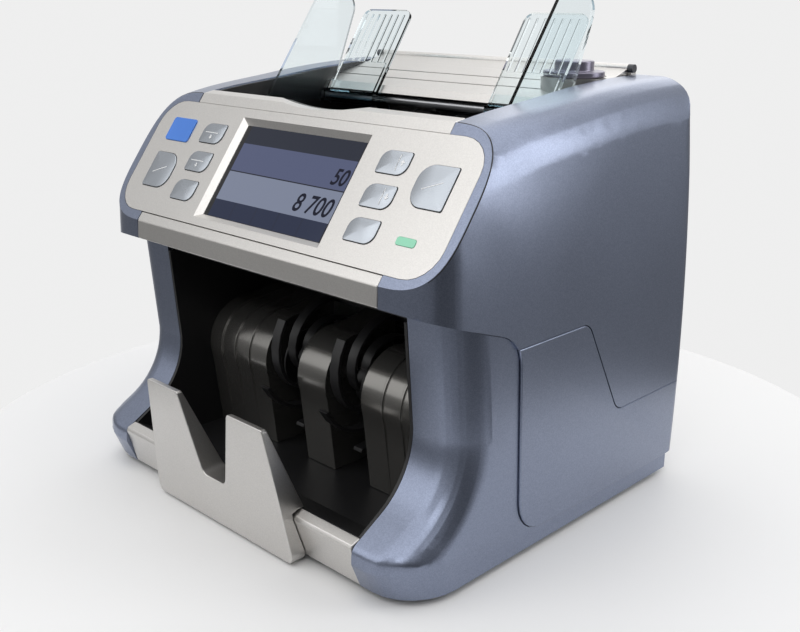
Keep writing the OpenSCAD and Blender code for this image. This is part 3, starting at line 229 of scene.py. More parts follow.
def finish(name, group, color, rough, metallic=0.0, amount=0.1, scale=1500.0, bump=0.1, **extra):
    mat, tree, bsdf = newMaterial(name)
    node = addNode(tree, "ShaderNodeGroup")
    node.node_tree = group
    setInputs(node, Color=(*color, 1), Amount=amount, Scale=scale, Roughness=rough)
    tree.links.new(node.outputs["Color"], bsdf.inputs["Base Color"])
    tree.links.new(node.outputs["Roughness"], bsdf.inputs["Roughness"])
    relief = addNode(tree, "ShaderNodeBump")
    setInputs(relief, Strength=bump, Distance=bumpDepth)
    tree.links.new(node.outputs["Height"], relief.inputs["Height"])
    tree.links.new(relief.outputs[0], bsdf.inputs["Normal"])
    setInputs(bsdf, Metallic=metallic, **extra)
    return mat


bodyPaint = finish("bodyPaint", flakeGroup, (0.235, 0.268, 0.36), rough=0.33, metallic=1.0, amount=0.22,
                   scale=2200.0, bump=0.06, Coat_Weight=0.25, Coat_Roughness=0.25)
silverPaint = finish("silverPaint", flakeGroup, (0.65, 0.635, 0.615), rough=0.36, metallic=1.0, amount=0.10,
                     scale=2400.0, bump=0.05)
keyPlastic = finish("keyPlastic", grainGroup, (0.43, 0.46, 0.50), rough=0.27, metallic=1.0, amount=0.05,
                    scale=900.0, bump=0.03)
emblemBlue = finish("emblemBlue", grainGroup, (0.06, 0.22, 0.72), rough=0.25, amount=0.25, scale=600.0,
                    bump=0.03)
blackMould = finish("blackMould", grainGroup, (0.012, 0.012, 0.013), rough=0.42, amount=0.18, scale=1400.0,
                    bump=0.12)
drumGloss = finish("drumGloss", grainGroup, (0.20, 0.195, 0.185), rough=0.2, metallic=0.8, scale=800.0,
                   bump=0.03)
rubberDark = finish("rubberDark", grainGroup, (0.02, 0.02, 0.021), rough=0.65, amount=0.2, scale=2600.0,
                    bump=0.3)
steelPlate = finish("steelPlate", grainGroup, (0.52, 0.53, 0.55), rough=0.32, metallic=1.0, amount=0.12,
                    scale=700.0, bump=0.06)
boardGreen = finish("boardGreen", grainGroup, (0.02, 0.10, 0.05), rough=0.4, amount=0.3, scale=400.0)
casingGrey = finish("casingGrey", grainGroup, (0.07, 0.072, 0.08), rough=0.45, metallic=0.2, scale=1200.0)
knobViolet = finish("knobViolet", grainGroup, (0.26, 0.245, 0.31), rough=0.32, metallic=0.7, amount=0.08,
                    scale=1800.0, bump=0.08)
lensGreen = finish("lensGreen", grainGroup, (0.28, 0.68, 0.47), rough=0.2, amount=0.12, scale=900.0,
                   bump=0.02, Emission_Color=(0.28, 0.72, 0.48, 1), Emission_Strength=0.06)
glassDark = finish("glassDark", grainGroup, (0.004, 0.004, 0.006), rough=0.08, scale=900.0, bump=0.0)
printWhite = finish("printWhite", grainGroup, (0.86, 0.87, 0.88), rough=0.4, amount=0.04, bump=0.02)
printNavy = finish("printNavy", grainGroup, (0.012, 0.013, 0.026), rough=0.3, amount=0.05, scale=900.0,
                   bump=0.0, Specular_IOR_Level=0.06)


# Sheet that light passes through, a little hazed
hazeSet = {"scale": 45.0, "detail": 4.0, "blur": 0.04, "dim": 0.96, "ior": 1.2}


def clearSheet(name, color, rough):
    mat, tree, bsdf = newMaterial(name)
    haze = objectNoise(tree, hazeSet["scale"], hazeSet["detail"])
    blur = mathNode(tree, "ADD", mathNode(tree, "MULTIPLY", haze, hazeSet["blur"]), rough)
    tree.links.new(blur, bsdf.inputs["Roughness"])
    dark = tuple(c * hazeSet["dim"] for c in color)
    tree.links.new(mixColor(tree, haze, (*dark, 1), (*color, 1)), bsdf.inputs["Base Color"])
    setInputs(bsdf, Transmission_Weight=1.0, IOR=hazeSet["ior"])
    return mat


guideClear = clearSheet("guideClear", (0.885, 0.95, 0.97), 0.0)
# Darker copies of the clear sheet: painted shade for the sides of the ribs and for the cut edges
guideRibShaded = clearSheet("guideRibShaded", (0.22, 0.34, 0.42), 0.05)
guideCutShaded = clearSheet("guideCutShaded", (0.03, 0.085, 0.125), 0.05)


# Lit picture of the display with a faint pixel grid
screenSet = {
    "gridScale": 3200.0, "dim": 0.93, "rough": 0.12, "specular": 0.25, "strength": 1.0,
    "base": ((0.010, 0.010, 0.014, 1), (0.014, 0.014, 0.018, 1)),
}


def litTone(name, color):
    mat, tree, bsdf = newMaterial(name)
    coord = addNode(tree, "ShaderNodeTexCoord")
    grid = addNode(tree, "ShaderNodeTexChecker")
    setInputs(grid, Scale=screenSet["gridScale"])
    tree.links.new(coord.outputs["Object"], grid.inputs["Vector"])
    dim = tuple(c * screenSet["dim"] for c in color)
    tone = mixColor(tree, grid.outputs["Fac"], (*dim, 1), (*color, 1))
    tree.links.new(tone, bsdf.inputs["Emission Color"])
    tree.links.new(mixColor(tree, grid.outputs["Fac"], *screenSet["base"]), bsdf.inputs["Base Color"])
    setInputs(bsdf, Emission_Strength=screenSet["strength"], Roughness=screenSet["rough"],
              Specular_IOR_Level=screenSet["specular"])
    return mat


pictureTones = {
    "bar": litTone("displayBar", (0.006, 0.010, 0.022)),
    "rowUpper": litTone("displayRowUpper", (0.072, 0.087, 0.165)),
    "rowLower": litTone("displayRowLower", (0.185, 0.212, 0.293)),
    "cell": litTone("displayCell", (0.005, 0.012, 0.040)),
    "gap": litTone("displayGap", (0.002, 0.004, 0.012)),
}
print("materials made")


# Pieces made from a node's solid, with broken edges and smooth rounds
weldSet = {"join": 0.02, "flat": 0.4}


def toMesh(name, bm):
    mesh = bpy.data.meshes.new(name)
    bm.to_mesh(mesh)
    bm.free()
    return mesh


def weldedCopy(nodeName, pieceName):
    bm = bmesh.new()
    bm.from_mesh(frame["nodes"][nodeName].data)
    bmesh.ops.remove_doubles(bm, verts=bm.verts, dist=weldSet["join"] * mm)
    bmesh.ops.dissolve_limit(bm, angle_limit=math.radians(weldSet["flat"]), verts=bm.verts, edges=bm.edges)
    mesh = toMesh(pieceName, bm)
    if mesh.attributes.get("custom_normal"):
        mesh.attributes.remove(mesh.attributes["custom_normal"])
    return linkNew(pieceName, mesh)


def smoothByAngle(mesh, degrees):
    for poly in mesh.polygons:
        poly.use_smooth = True
    mesh.set_sharp_from_angle(angle=math.radians(degrees))


def bodyOf(nodeName):
    return frame["nodes"][nodeName]["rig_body"]


def reshape(mesh, rework):
    bm = bmesh.new()
    bm.from_mesh(mesh)
    rework(bm)
    bm.to_mesh(mesh)
    bm.free()


# Width of the round on each edge, in millimetres: one value, or a function of the two faces' normals
def edgeWidths(mesh, edge, angle):
    limit = math.cos(math.radians(angle))
    bm = bmesh.new()
    bm.from_mesh(mesh)
    widths = []
    for e in bm.edges:
        normals = [f.normal for f in e.link_faces]
        width = 0.0
        if len(normals) == 2 and normals[0].dot(normals[1]) < limit:
            width = edge(*normals) if callable(edge) else edge
        widths.append(width)
    bm.free()
    return widths


def moulded(nodeName, mat, edge=0.5, segments=2, angle=28):
    obj = weldedCopy(nodeName, nodeName + "_skin")
    if nodeName in reshapeSet:
        reshape(obj.data, reshapeSet[nodeName])
    widths = edgeWidths(obj.data, edge, angle)
    widest = max(widths) or 1.0
    weight = obj.data.attributes.new("bevel_weight_edge", "FLOAT", "EDGE")
    weight.data.foreach_set("value", [w / widest for w in widths])
    smoothByAngle(obj.data, angle)
    obj.data.materials.clear()
    obj.data.materials.append(mat)
    bevel = obj.modifiers.new("brokenEdges", "BEVEL")
    bevel.width = widest * mm
    bevel.segments = segments
    bevel.limit_method = "WEIGHT"
    bevel.harden_normals = True
    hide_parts(nodeName)
    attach(obj, bodyOf(nodeName))
    return obj


def paintNode(nodeName, mat):
    node = frame["nodes"][nodeName]
    node.data.materials.clear()
    node.data.materials.append(mat)


# Control panel's own frame: x to the right, y up the panel, z out of it
panelSet = {"foot": (0, -0.0957, 0.1558), "tilt": 53.65}
panelAngle = math.radians(panelSet["tilt"])
panelTurn = Matrix.Translation(panelSet["foot"]) @ Matrix.Rotation(panelAngle, 4, "X")
panelUp = panelTurn.to_3x3() @ Vector((0, 1, 0))
panelOut = panelTurn.to_3x3() @ Vector((0, 0, 1))


# Head's outline on the panel's plane, an oval about a middle on each side, in millimetres;
# the flat side swells out behind it until it is as wide as the solid
headSet = {
    "middle": (100, 40), "width": 36.3, "rise": 47.7, "fall": 40, "power": 3.1,
    "solidWidth": 40, "solidRise": 48.1, "solidPower": 4.35, "chamfer": 4.3, "reach": 76,
    "lowRound": (-20, 7.3, 20, 33.74),  # middle and half axes of the lower corner
    "lowEdge": (-96, 145, 0.34),  # the lower edge's y, its height there and its fall to the rear
    "lowFade": (0, 14), "lowSlack": -2,
    "outer": (0.885, 0.95), "wallShare": (10, 55), "wallNear": 0.97, "inner": 1,
    "slack": 0.1, "flush": 0.05, "join": 0.05, "thin": 0.02,
}
headCuts = {
    "depth": [5, 8, 12, 16, 21, 27, 34, 42, 50, 60, 70], "up": range(2, 120, 4), "x": range(106, 139, 3),
    "y": range(-94, 124, 4), "z": range(190, 226, 4), "zBehind": -30,
}
# Crown of the covers and the hopper's walls: how far it lies below the plain arc, behind the panel
crownSet = {"drop": 3.7, "from": -55, "to": 25, "fadeLow": 185, "fadeHigh": 225, "cuts": range(-40, 120, 10)}
# True curves of the faceted rounds: the crown's arc with its edge round, and the head's upright corner
roundSet = {
    "middle": (119.5, -512.5), "radius": 757, "round": 22, "halfWidth": 140,
    "corner": (120, -76.3), "cornerRadius": 20, "slack": (0.985, 1.002),
}
tiny = 0.001


def ovalReach(angle, width, tall, power):
    across, along = abs(math.cos(angle) / width), abs(math.sin(angle) / tall)
    return (across ** power + along ** power) ** (-1 / power)


def rimReach(angle):
    tall = headSet["rise"] if angle > 0 else headSet["fall"]
    return ovalReach(angle, headSet["width"], tall, headSet["power"])


# The solid's own outline: an oval above the middle, and the upright corner's ellipse below it
def solidReach(angle):
    h = headSet
    if angle > 0:
        return ovalReach(angle, h["solidWidth"], h["solidRise"], h["solidPower"])
    across, along = math.cos(angle), math.sin(angle)
    x, y, wide, tall = h["lowRound"]
    a = (across / wide) ** 2 + (along / tall) ** 2
    b = x * across / wide ** 2 + y * along / tall ** 2
    c = (x / wide) ** 2 + (y / tall) ** 2 - 1
    reach = (math.sqrt(max(b * b - a * c, 0)) - b) / a
    if reach * across + x > 0 and reach * along + y < 0:
        return reach
    return min(h["solidWidth"] / max(across, tiny), (tall + y) / max(-along, tiny))


def smoothStep(low, high, value):
    share = min(max((value - low) / (high - low), 0), 1)
    return share * share * (3 - 2 * share)


def fadeBehind(depth):
    return max(0, 1 - depth / headSet["reach"]) ** 2


def cutMesh(bm, point, normal, behind=None):
    geom = bm.verts[:] + bm.edges[:] + bm.faces[:]
    if behind is not None:
        faces = [f for f in bm.faces if min(v.co.y for v in f.verts) > behind * mm]
        geom = faces + list({e for f in faces for e in f.edges}) + list({v for f in faces for v in f.verts})
    bmesh.ops.bisect_plane(bm, geom=geom, plane_co=point, plane_no=normal)


def cutAlong(bm, axis, places, behind=None):
    way = Vector([1.0 if i == axis else 0.0 for i in range(3)])
    for place in places:
        cutMesh(bm, way * place * mm, way, behind)


def lowerCrown(bm):
    c = crownSet
    cutAlong(bm, 1, c["cuts"])
    for v in bm.verts:
        back = smoothStep(c["from"], c["to"], v.co.y / mm)
        v.co.z -= c["drop"] * mm * back * smoothStep(c["fadeLow"], c["fadeHigh"], v.co.z / mm)


# Puts the points of the faceted rounds back on their true curves
def trueRound(point):
    r = roundSet
    low, high = r["slack"]
    x, y, z = abs(point.x) / mm, point.y / mm, point.z / mm
    back, up = y - r["middle"][0], z - r["middle"][1]
    far = math.hypot(up, back)
    rise, out = far - r["radius"] + r["round"], x - r["halfWidth"] + r["round"]
    size = math.hypot(rise, out) / r["round"]
    if rise > 0 and out > 0 and low < size < high:
        share = (r["radius"] - r["round"] + rise / size) / far
        x = r["halfWidth"] - r["round"] + out / size
        y, z = r["middle"][0] + back * share, r["middle"][1] + up * share
    out, front = x - r["corner"][0], r["corner"][1] - y
    size = math.hypot(out, front) / r["cornerRadius"]
    if out > 0 and front > 0 and low < size < high:
        x, y = r["corner"][0] + out / size, r["corner"][1] - front / size
    return Vector((math.copysign(x, point.x), y, z)) * mm


# Above the middle a point moves square to the panel's normal, height is above the lower edge
def softenPoint(place, height):
    h = headSet
    across, along, depth = abs(place.x) - h["middle"][0], place.y - h["middle"][1], -place.z
    edge = h["solidWidth"] - h["chamfer"]
    if across > edge and -h["slack"] < depth < h["chamfer"]:
        across, depth = edge, 0
    angle = math.atan2(along, across)
    reach, solid, rim = math.hypot(along, across), solidReach(angle), rimReach(angle)
    if across < h["inner"] or depth < -h["slack"] or reach < h["outer"][0] * solid:
        return place
    if depth < h["flush"]:
        reach, lift = rim, 1
    else:
        reach *= 1 + (rim / solid - 1) * fadeBehind(depth) * smoothStep(*h["outer"], reach / solid)
        lift = smoothStep(*h["lowFade"], height)
    along += (reach * math.sin(angle) - along) * lift
    across = h["middle"][0] + reach * math.cos(angle)
    return Vector((math.copysign(across, place.x), h["middle"][1] + along, -depth))


# Heights of an upright wall's lower edge and of the panel's plane above it
def wallEnds(y):
    edgeY, low, fall = headSet["lowEdge"]
    foot, head = panelSet["foot"][1] / mm, panelSet["foot"][2] / mm
    return low - fall * (y - edgeY), head + math.tan(panelAngle) * (y - foot)


# The panel's point straight above a point, from the head's middle
def pointAbove(point):
    along = (point.y - panelSet["foot"][1]) / mm / math.cos(panelAngle)
    return abs(point.x) / mm - headSet["middle"][0], along - headSet["middle"][1]


# Below the middle the walls are upright: a point moves with the rim's point straight above it
def softenWall(point):
    h = headSet
    across, along = pointAbove(point)
    lower, upper = wallEnds(point.y / mm)
    angle, reach = math.atan2(along, across), math.hypot(along, across)
    depth = max((upper - point.z / mm) * math.cos(panelAngle), 0)
    if across > h["solidWidth"] - h["chamfer"] and depth < h["chamfer"]:
        reach, share = rimReach(angle), 1
    else:
        reach *= 1 + (rimReach(angle) / solidReach(angle) - 1) * fadeBehind(depth)
        share = (point.z / mm - lower) / (upper - lower)
    x = h["middle"][0] + reach * math.cos(angle)
    y = panelSet["foot"][1] / mm + (h["middle"][1] + reach * math.sin(angle)) * math.cos(panelAngle)
    lower, upper = wallEnds(y)
    return Vector((math.copysign(x, point.x), y, lower + (upper - lower) * share)) * mm


def onWall(place, point):
    h = headSet
    across, along = pointAbove(point)
    near = math.hypot(along, across) > h["wallNear"] * solidReach(math.atan2(along, across))
    rim = across > h["solidWidth"] - h["chamfer"] - h["slack"] and -place.z < h["chamfer"]
    return across > h["inner"] and place.z < -h["flush"] and place.y < h["wallShare"][1] and (near or rim)


def softenHead(bm):
    h = headSet
    inverse = panelTurn.inverted()
    for depth in headCuts["depth"]:
        cutMesh(bm, Vector(panelSet["foot"]) - panelOut * depth * mm, panelOut)
    for up in headCuts["up"]:
        cutMesh(bm, panelTurn @ Vector((0, up * mm, 0)), panelUp)
    cutAlong(bm, 0, [side * x for x in headCuts["x"] for side in (-1, 1)])
    cutAlong(bm, 1, headCuts["y"])
    cutAlong(bm, 2, headCuts["z"], headCuts["zBehind"])
    for v in bm.verts:
        place = inverse @ v.co / mm
        if place.z < -h["flush"]:
            v.co = trueRound(v.co)
            place = inverse @ v.co / mm
        height = v.co.z / mm - wallEnds(v.co.y / mm)[0]
        target = panelTurn @ (softenPoint(place, height) * mm)
        if height > h["lowSlack"] and onWall(place, v.co):
            target = softenWall(v.co).lerp(target, smoothStep(*h["wallShare"], place.y))
        v.co = target
    lowerCrown(bm)
    bmesh.ops.remove_doubles(bm, verts=bm.verts, dist=h["join"] * mm)
    bmesh.ops.dissolve_degenerate(bm, edges=bm.edges, dist=h["thin"] * mm)
    bmesh.ops.triangulate(bm, faces=[f for f in bm.faces if len(f.verts) > 4])
    bm.normal_update()


# Crease round the corner of the cheeks' toes, smoothed to a soft round
toeSet = {
    "crease": [(109.5, -114.3, 25.2), (122, -112.2, 27.1), (127.4, -109.3, 27.4), (133.2, -103.5, 26.2),
               (137.1, -95.6, 24.1)],
    "x": range(107, 140, 2), "y": range(-113, -86, 2), "z": range(15, 36, 2),
    "near": 7, "passes": 24, "pull": 0.5,
}


def creaseGap(point):
    gaps = []
    for a, b in zip(toeSet["crease"], toeSet["crease"][1:]):
        start, way = Vector(a), Vector(b) - Vector(a)
        share = min(max((point - start).dot(way) / way.length_squared, 0), 1)
        gaps.append((point - start - way * share).length)
    return min(gaps)


def softenToe(bm):
    side = math.copysign(1, sum(v.co.x for v in bm.verts))
    cutAlong(bm, 0, [side * x for x in toeSet["x"]])
    cutAlong(bm, 1, toeSet["y"])
    cutAlong(bm, 2, toeSet["z"])
    mirror = Vector((side, 1, 1)) / mm
    near = [v for v in bm.verts if creaseGap(v.co * mirror) < toeSet["near"]]
    for i in range(toeSet["passes"]):
        bmesh.ops.smooth_vert(bm, verts=near, factor=toeSet["pull"],
                              use_axis_x=True, use_axis_y=True, use_axis_z=True)
    bm.normal_update()


# Edges of the head: small at the panel, which has a bead, round at the lower edge, and broken elsewhere
headEdgeSet = {"panel": 0.2, "foot": 1.3, "other": 0.5, "facing": 0.98, "down": -0.8}


def headEdge(a, b):
    if max(a.dot(panelOut), b.dot(panelOut)) > headEdgeSet["facing"]:
        return headEdgeSet["panel"]
    return headEdgeSet["foot"] if min(a.z, b.z) < headEdgeSet["down"] else headEdgeSet["other"]


# Nodes whose copied mesh is reworked, and the covers with their edge rounds
reshapeSet = {
    "left_upper_cover": softenHead, "right_upper_cover": softenHead, "left_cheek": softenToe,
    "right_cheek": softenToe, "top_trim": lowerCrown, "hopper_tray": lowerCrown,
}
coverSet = {
    "blue": {"left_cheek": 0.5, "right_cheek": 0.5, "left_upper_cover": headEdge,
             "right_upper_cover": headEdge, "left_side_panel": 1.3, "right_side_panel": 1.3},
    "silver": {"front_bar": 0.8, "control_panel": 0.35, "front_lip": 0.9, "top_trim": 0.7,
               "hopper_rear_panel": 0.5, "rear_door": 0.6, "stacker_plate": 2.2},
    "segments": 3,
}
for name, edge in coverSet["blue"].items():
    moulded(name, bodyPaint, edge, coverSet["segments"])
for name, edge in coverSet["silver"].items():
    moulded(name, silverPaint, edge, coverSet["segments"])
paintNode("back_panel", silverPaint)
print("covers made")


# Faces between rings of points, with both ends closed
def skinRings(bm, rings):
    for near, far in zip(rings, rings[1:]):
        for k in range(len(near)):
            j = (k + 1) % len(near)
            bm.faces.new((near[k], near[j], far[j], far[k]))
    bm.faces.new(rings[0][::-1])
    bm.faces.new(rings[-1])
    bmesh.ops.recalc_face_normals(bm, faces=bm.faces)


# Round cord of one radius through a list of points
def sweptBead(name, points, radius, sides=10, angle=40):
    bm = bmesh.new()
    rings = []
    for i, point in enumerate(points):
        way = (points[min(i + 1, len(points) - 1)] - points[max(i - 1, 0)]).normalized()
        flat = way.cross(panelOut).normalized()
        turns = (2 * math.pi * k / sides for k in range(sides))
        spokes = [flat * math.cos(a) + panelOut * math.sin(a) for a in turns]
        rings.append([bm.verts.new(point + spoke * radius) for spoke in spokes])
    skinRings(bm, rings)
    mesh = toMesh(name, bm)
    smoothByAngle(mesh, angle)
    return linkNew(name, mesh)


# Bead round the head's rim, and a black cord of painted shade in the gap beside it: degrees round the oval,
# then millimetres out from it and behind the panel
rimSet = {
    "bead": {"radius": 0.75, "from": 84, "to": -80, "outward": -0.75, "depth": 0.75},
    "seam": {"radius": 0.3, "from": 86, "to": -48, "outward": 0.15, "depth": 0.525},
    "step": 2,
}


def rimPoint(side, degrees, outward, depth):
    angle = math.radians(degrees)
    reach = rimReach(angle) + outward
    x, y = headSet["middle"][0] + reach * math.cos(angle), headSet["middle"][1] + reach * math.sin(angle)
    return panelTurn @ (Vector((side * x, y, -depth)) * mm)


def makeRim(name, side):
    # The bead is body paint; the black cord stands in for the shadow in the gap between the rim and the side
    # cover, as painted shade
    for label, mat, slot in (("bead", bodyPaint, "body_blue"), ("seam", blackMould, "black")):
        bead = rimSet[label]
        span = bead["from"] - bead["to"]
        steps = span // rimSet["step"]
        turns = [bead["from"] - span * i / steps for i in range(steps + 1)]
        points = [rimPoint(side, a, bead["outward"], bead["depth"]) for a in turns]
        obj = sweptBead(name + "_rim_" + label, points, bead["radius"] * mm)
        obj.data.materials.append(mat)
        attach(obj, bodyOf(name + "_upper_cover"))


makeRim("left", -1)
makeRim("right", 1)
print("head rims made")


# Dark end caps on the rolled edge of the rear door
capSet = {"middle": (107.7, 244.2), "radius": 2.4, "from": 99.8, "to": 103.4, "sides": 20}


def makeCap(name, side):
    points = [Vector((side * x, *capSet["middle"])) * mm for x in (capSet["from"], capSet["to"])]
    obj = sweptBead(name, points, capSet["radius"] * mm, capSet["sides"])
    obj.data.materials.append(casingGrey)
    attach(obj, bodyOf("rear_door"))


makeCap("left_door_cap", -1)
makeCap("right_door_cap", 1)
print("door caps made")


# Helpers for what lies on the panel, in the panel's frame

def panelBox(nodeName):
    inverse = panelTurn.inverted()
    points = [inverse @ v.co for v in frame["nodes"][nodeName].data.vertices]
    low = Vector([min(p[i] for p in points) for i in range(3)])
    high = Vector([max(p[i] for p in points) for i in range(3)])
    return low, high


def addPrism(bm, outline, low, high, index=0):
    lower = [bm.verts.new((p[0], p[1], low)) for p in outline]
    upper = [bm.verts.new((p[0], p[1], high)) for p in outline]
    count = len(outline)
    faces = [bm.faces.new(upper), bm.faces.new(lower[::-1])]
    for i in range(count):
        j = (i + 1) % count
        faces.append(bm.faces.new((lower[i], lower[j], upper[j], upper[i])))
    for face in faces:
        face.material_index = index


def rectangle(x0, x1, y0, y1):
    return [(x0, y0), (x1, y0), (x1, y1), (x0, y1)]


def panelPiece(name, bm, mats, body):
    bmesh.ops.recalc_face_normals(bm, faces=bm.faces)
    bm.transform(panelTurn)
    mesh = toMesh(name, bm)
    for mat in mats:
        mesh.materials.append(mat)
    obj = linkNew(name, mesh)
    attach(obj, body)


keySet = {
    "nodes": ["currency_key", "batch_key", "add_key", "mode_key", "menu_key", "report_key", "back_key",
              "start_key"],
    "edge": 0.3, "segments": 3, "angle": 40, "facing": 0.99,
    "crown": 0.6, "power": 2.4, "rings": [0.97, 0.9, 0.8, 0.65, 0.45, 0.2],
    "stroke": 0.45, "stem": 0.32, "printLift": 0.06, "printDepth": 0.05, "printSteps": 6,
}
# Printed strokes and arrow heads from each key's middle, in millimetres
keyMarks = {
    "currency_key": {"strokes": [(-6.5, 0.2, 5.5, 0.2)], "arrows": [(0.3, -2.6, -1.3)]},
    "batch_key": {"strokes": [(-6.5, 0.2, 5.5, 0.2)], "arrows": [(0.3, -2.6, -1.3)]},
    "mode_key": {"strokes": [(3.4, -4.4, 3.4, 4.6)], "arrows": [(6.2, 0.2, 1.6)]},
    "menu_key": {"strokes": [(3.4, -4.4, 3.4, 4.6)], "arrows": [(6.2, 0.2, -1.6)]},
    "back_key": {"strokes": [(-6.0, -2.6, 5.2, 2.2)], "arrows": []},
    "start_key": {"strokes": [(-5.2, -2.2, 6.0, 2.6)], "arrows": []},
}


def crownDrop(share):
    return keySet["crown"] * mm * share ** keySet["power"]


# The flat top of a key becomes a shallow dome that keeps the key's height
def domeTop(bm):
    tops = [f for f in bm.faces if f.normal.dot(panelOut) > keySet["facing"]]
    top = max(tops, key=lambda f: f.calc_center_median().dot(panelOut))
    outline = list(top.verts)
    middle = top.calc_center_bounds()
    bmesh.ops.delete(bm, geom=[top], context="FACES_ONLY")
    flat = [v.co - middle for v in outline]
    for v in outline:
        v.co -= panelOut * crownDrop(1.0)
    ring = outline
    for share in keySet["rings"]:
        inner = [bm.verts.new(middle + p * share - panelOut * crownDrop(share)) for p in flat]
        for i in range(len(ring)):
            j = (i + 1) % len(ring)
            bm.faces.new((ring[i], ring[j], inner[j], inner[i]))
        ring = inner
    bm.faces.new(ring)


def domeKey(nodeName):
    obj = moulded(nodeName, keyPlastic, keySet["edge"], keySet["segments"], keySet["angle"])
    reshape(obj.data, domeTop)
    for poly in obj.data.polygons:
        poly.use_smooth = True


def strokeOutline(x0, y0, x1, y1):
    start, end = Vector((x0, y0)), Vector((x1, y1))
    along = (end - start).normalized()
    across = Vector((-along.y, along.x)) * keySet["stroke"] / 2
    steps = [start.lerp(end, i / keySet["printSteps"]) for i in range(keySet["printSteps"] + 1)]
    return [p - across for p in steps] + [p + across for p in reversed(steps)]


def arrowOutline(x, y, size):
    wide = abs(size)
    stem = wide * keySet["stem"]
    return [(x - stem, y - size), (x + stem, y - size), (x + stem, y), (x + wide, y), (x, y + size),
            (x - wide, y), (x - stem, y)]


def printKey(nodeName, marks):
    low, high = panelBox(nodeName)
    middle, half = (low + high) / 2, (high - low) / 2
    bm = bmesh.new()
    shapes = [strokeOutline(*stroke) for stroke in marks["strokes"]]
    shapes += [arrowOutline(*arrow) for arrow in marks["arrows"]]
    for shape in shapes:
        outline = [(middle.x + p[0] * mm, middle.y + p[1] * mm) for p in shape]
        addPrism(bm, outline, -keySet["printDepth"] * mm, 0.0)
    for v in bm.verts:
        share = max(abs(v.co.x - middle.x) / half.x, abs(v.co.y - middle.y) / half.y)
        v.co.z += high.z - crownDrop(share) + keySet["printLift"] * mm
    panelPiece(nodeName + "_print", bm, [printWhite], bodyOf(nodeName))


for name in keySet["nodes"]:
    domeKey(name)
for name, marks in keyMarks.items():
    printKey(name, marks)
moulded("emblem_tile", emblemBlue, 0.3)
moulded("status_lens", lensGreen, 0.2)
moulded("display_glass", glassDark, 0.2)
print("keys made")


# Display picture on the glass: bar, two rows and a line of five cells, with plain numbers
pictureSet = {
    "left": -45.5, "right": 49.0, "foot": 14.4, "cellTop": 25.0, "rowSplit": 43.2, "barFoot": 60.8,
    "top": 72.0, "sink": 0.01, "lift": 0.05, "line": 0.7, "cells": 5, "cellGap": 0.35,
    "upper": {"text": "50", "right": 47.2, "foot": 46.2, "height": 9.2},
    "lower": {"text": "8 700", "right": 46.2, "foot": 28.0, "height": 10.3},
    "capShare": 0.7, "thick": 0.02, "squeeze": 0.86, "slant": 0.16, "bold": 0.22, "join": 0.001,
}


def makePicture():
    p = pictureSet
    high = panelBox("display_glass")[1]
    base, face = high.z - p["sink"] * mm, high.z + p["lift"] * mm
    left, right, half = p["left"], p["right"], p["line"] / 2
    slabs = [
        (left, right, p["barFoot"], p["top"], "bar"),
        (left, right, p["rowSplit"] + half, p["barFoot"], "rowUpper"),
        (left, right, p["rowSplit"] - half, p["rowSplit"] + half, "gap"),
        (left, right, p["cellTop"], p["rowSplit"] - half, "rowLower"),
    ]
    width = (right - left) / p["cells"]
    for i in range(p["cells"]):
        x = left + i * width
        split = x + width - p["cellGap"]
        slabs.append((x, split, p["foot"], p["cellTop"], "cell"))
        slabs.append((split, x + width, p["foot"], p["cellTop"], "gap"))
    tones = list(pictureTones)
    bm = bmesh.new()
    for x0, x1, y0, y1, tone in slabs:
        addPrism(bm, rectangle(x0 * mm, x1 * mm, y0 * mm, y1 * mm), base, face, tones.index(tone))
    panelPiece("display_picture", bm, pictureTones.values(), "housing")
    return face


def makeNumber(name, words, face):
    p = pictureSet
    curve = bpy.data.curves.new(name, "FONT")
    curve.body = words["text"]
    curve.size = words["height"] * mm / p["capShare"]
    curve.extrude = p["thick"] * mm
    curve.offset = p["bold"] * mm
    curve.align_x = "RIGHT"
    holder = linkNew(name + "_curve", curve)
    graph = bpy.context.evaluated_depsgraph_get()
    mesh = bpy.data.meshes.new_from_object(holder.evaluated_get(graph))
    bpy.data.objects.remove(holder)
    bm = bmesh.new()
    bm.from_mesh(mesh)
    bmesh.ops.remove_doubles(bm, verts=bm.verts, dist=p["join"] * mm)
    for v in bm.verts:
        v.co.x = v.co.x * p["squeeze"] + v.co.y * p["slant"] + words["right"] * mm
        v.co.y += words["foot"] * mm
        v.co.z += face + p["thick"] * mm
    panelPiece(name, bm, [printNavy], "housing")


pictureFace = makePicture()
makeNumber("display_number_upper", pictureSet["upper"], pictureFace)
makeNumber("display_number_lower", pictureSet["lower"], pictureFace)
print("display drawn")


pocketSet = {
    "black": ["stacker_pocket", "stacker_wheels", "hopper_tray", "power_inlet", "power_switch"],
    "drums": ["side_drum_covers", "centre_drum_cover"],
    "edge": 0.3, "knobEdge": 0.8, "knobSegments": 3,
}
for name in pocketSet["black"]:
    moulded(name, blackMould, pocketSet["edge"])
for name in pocketSet["drums"]:
    moulded(name, drumGloss, pocketSet["edge"])
moulded("gap_knob", knobViolet, pocketSet["knobEdge"], pocketSet["knobSegments"])


# Clear guides: the sides of the ribs and the cut edges get painted shade, darker copies of the clear sheet
# than the faces of the sheets
guideSet = {"nodes": ["left_guide", "right_guide"], "lean": 33.5, "edge": 0.25, "flat": 0.8, "cutArea": 40}


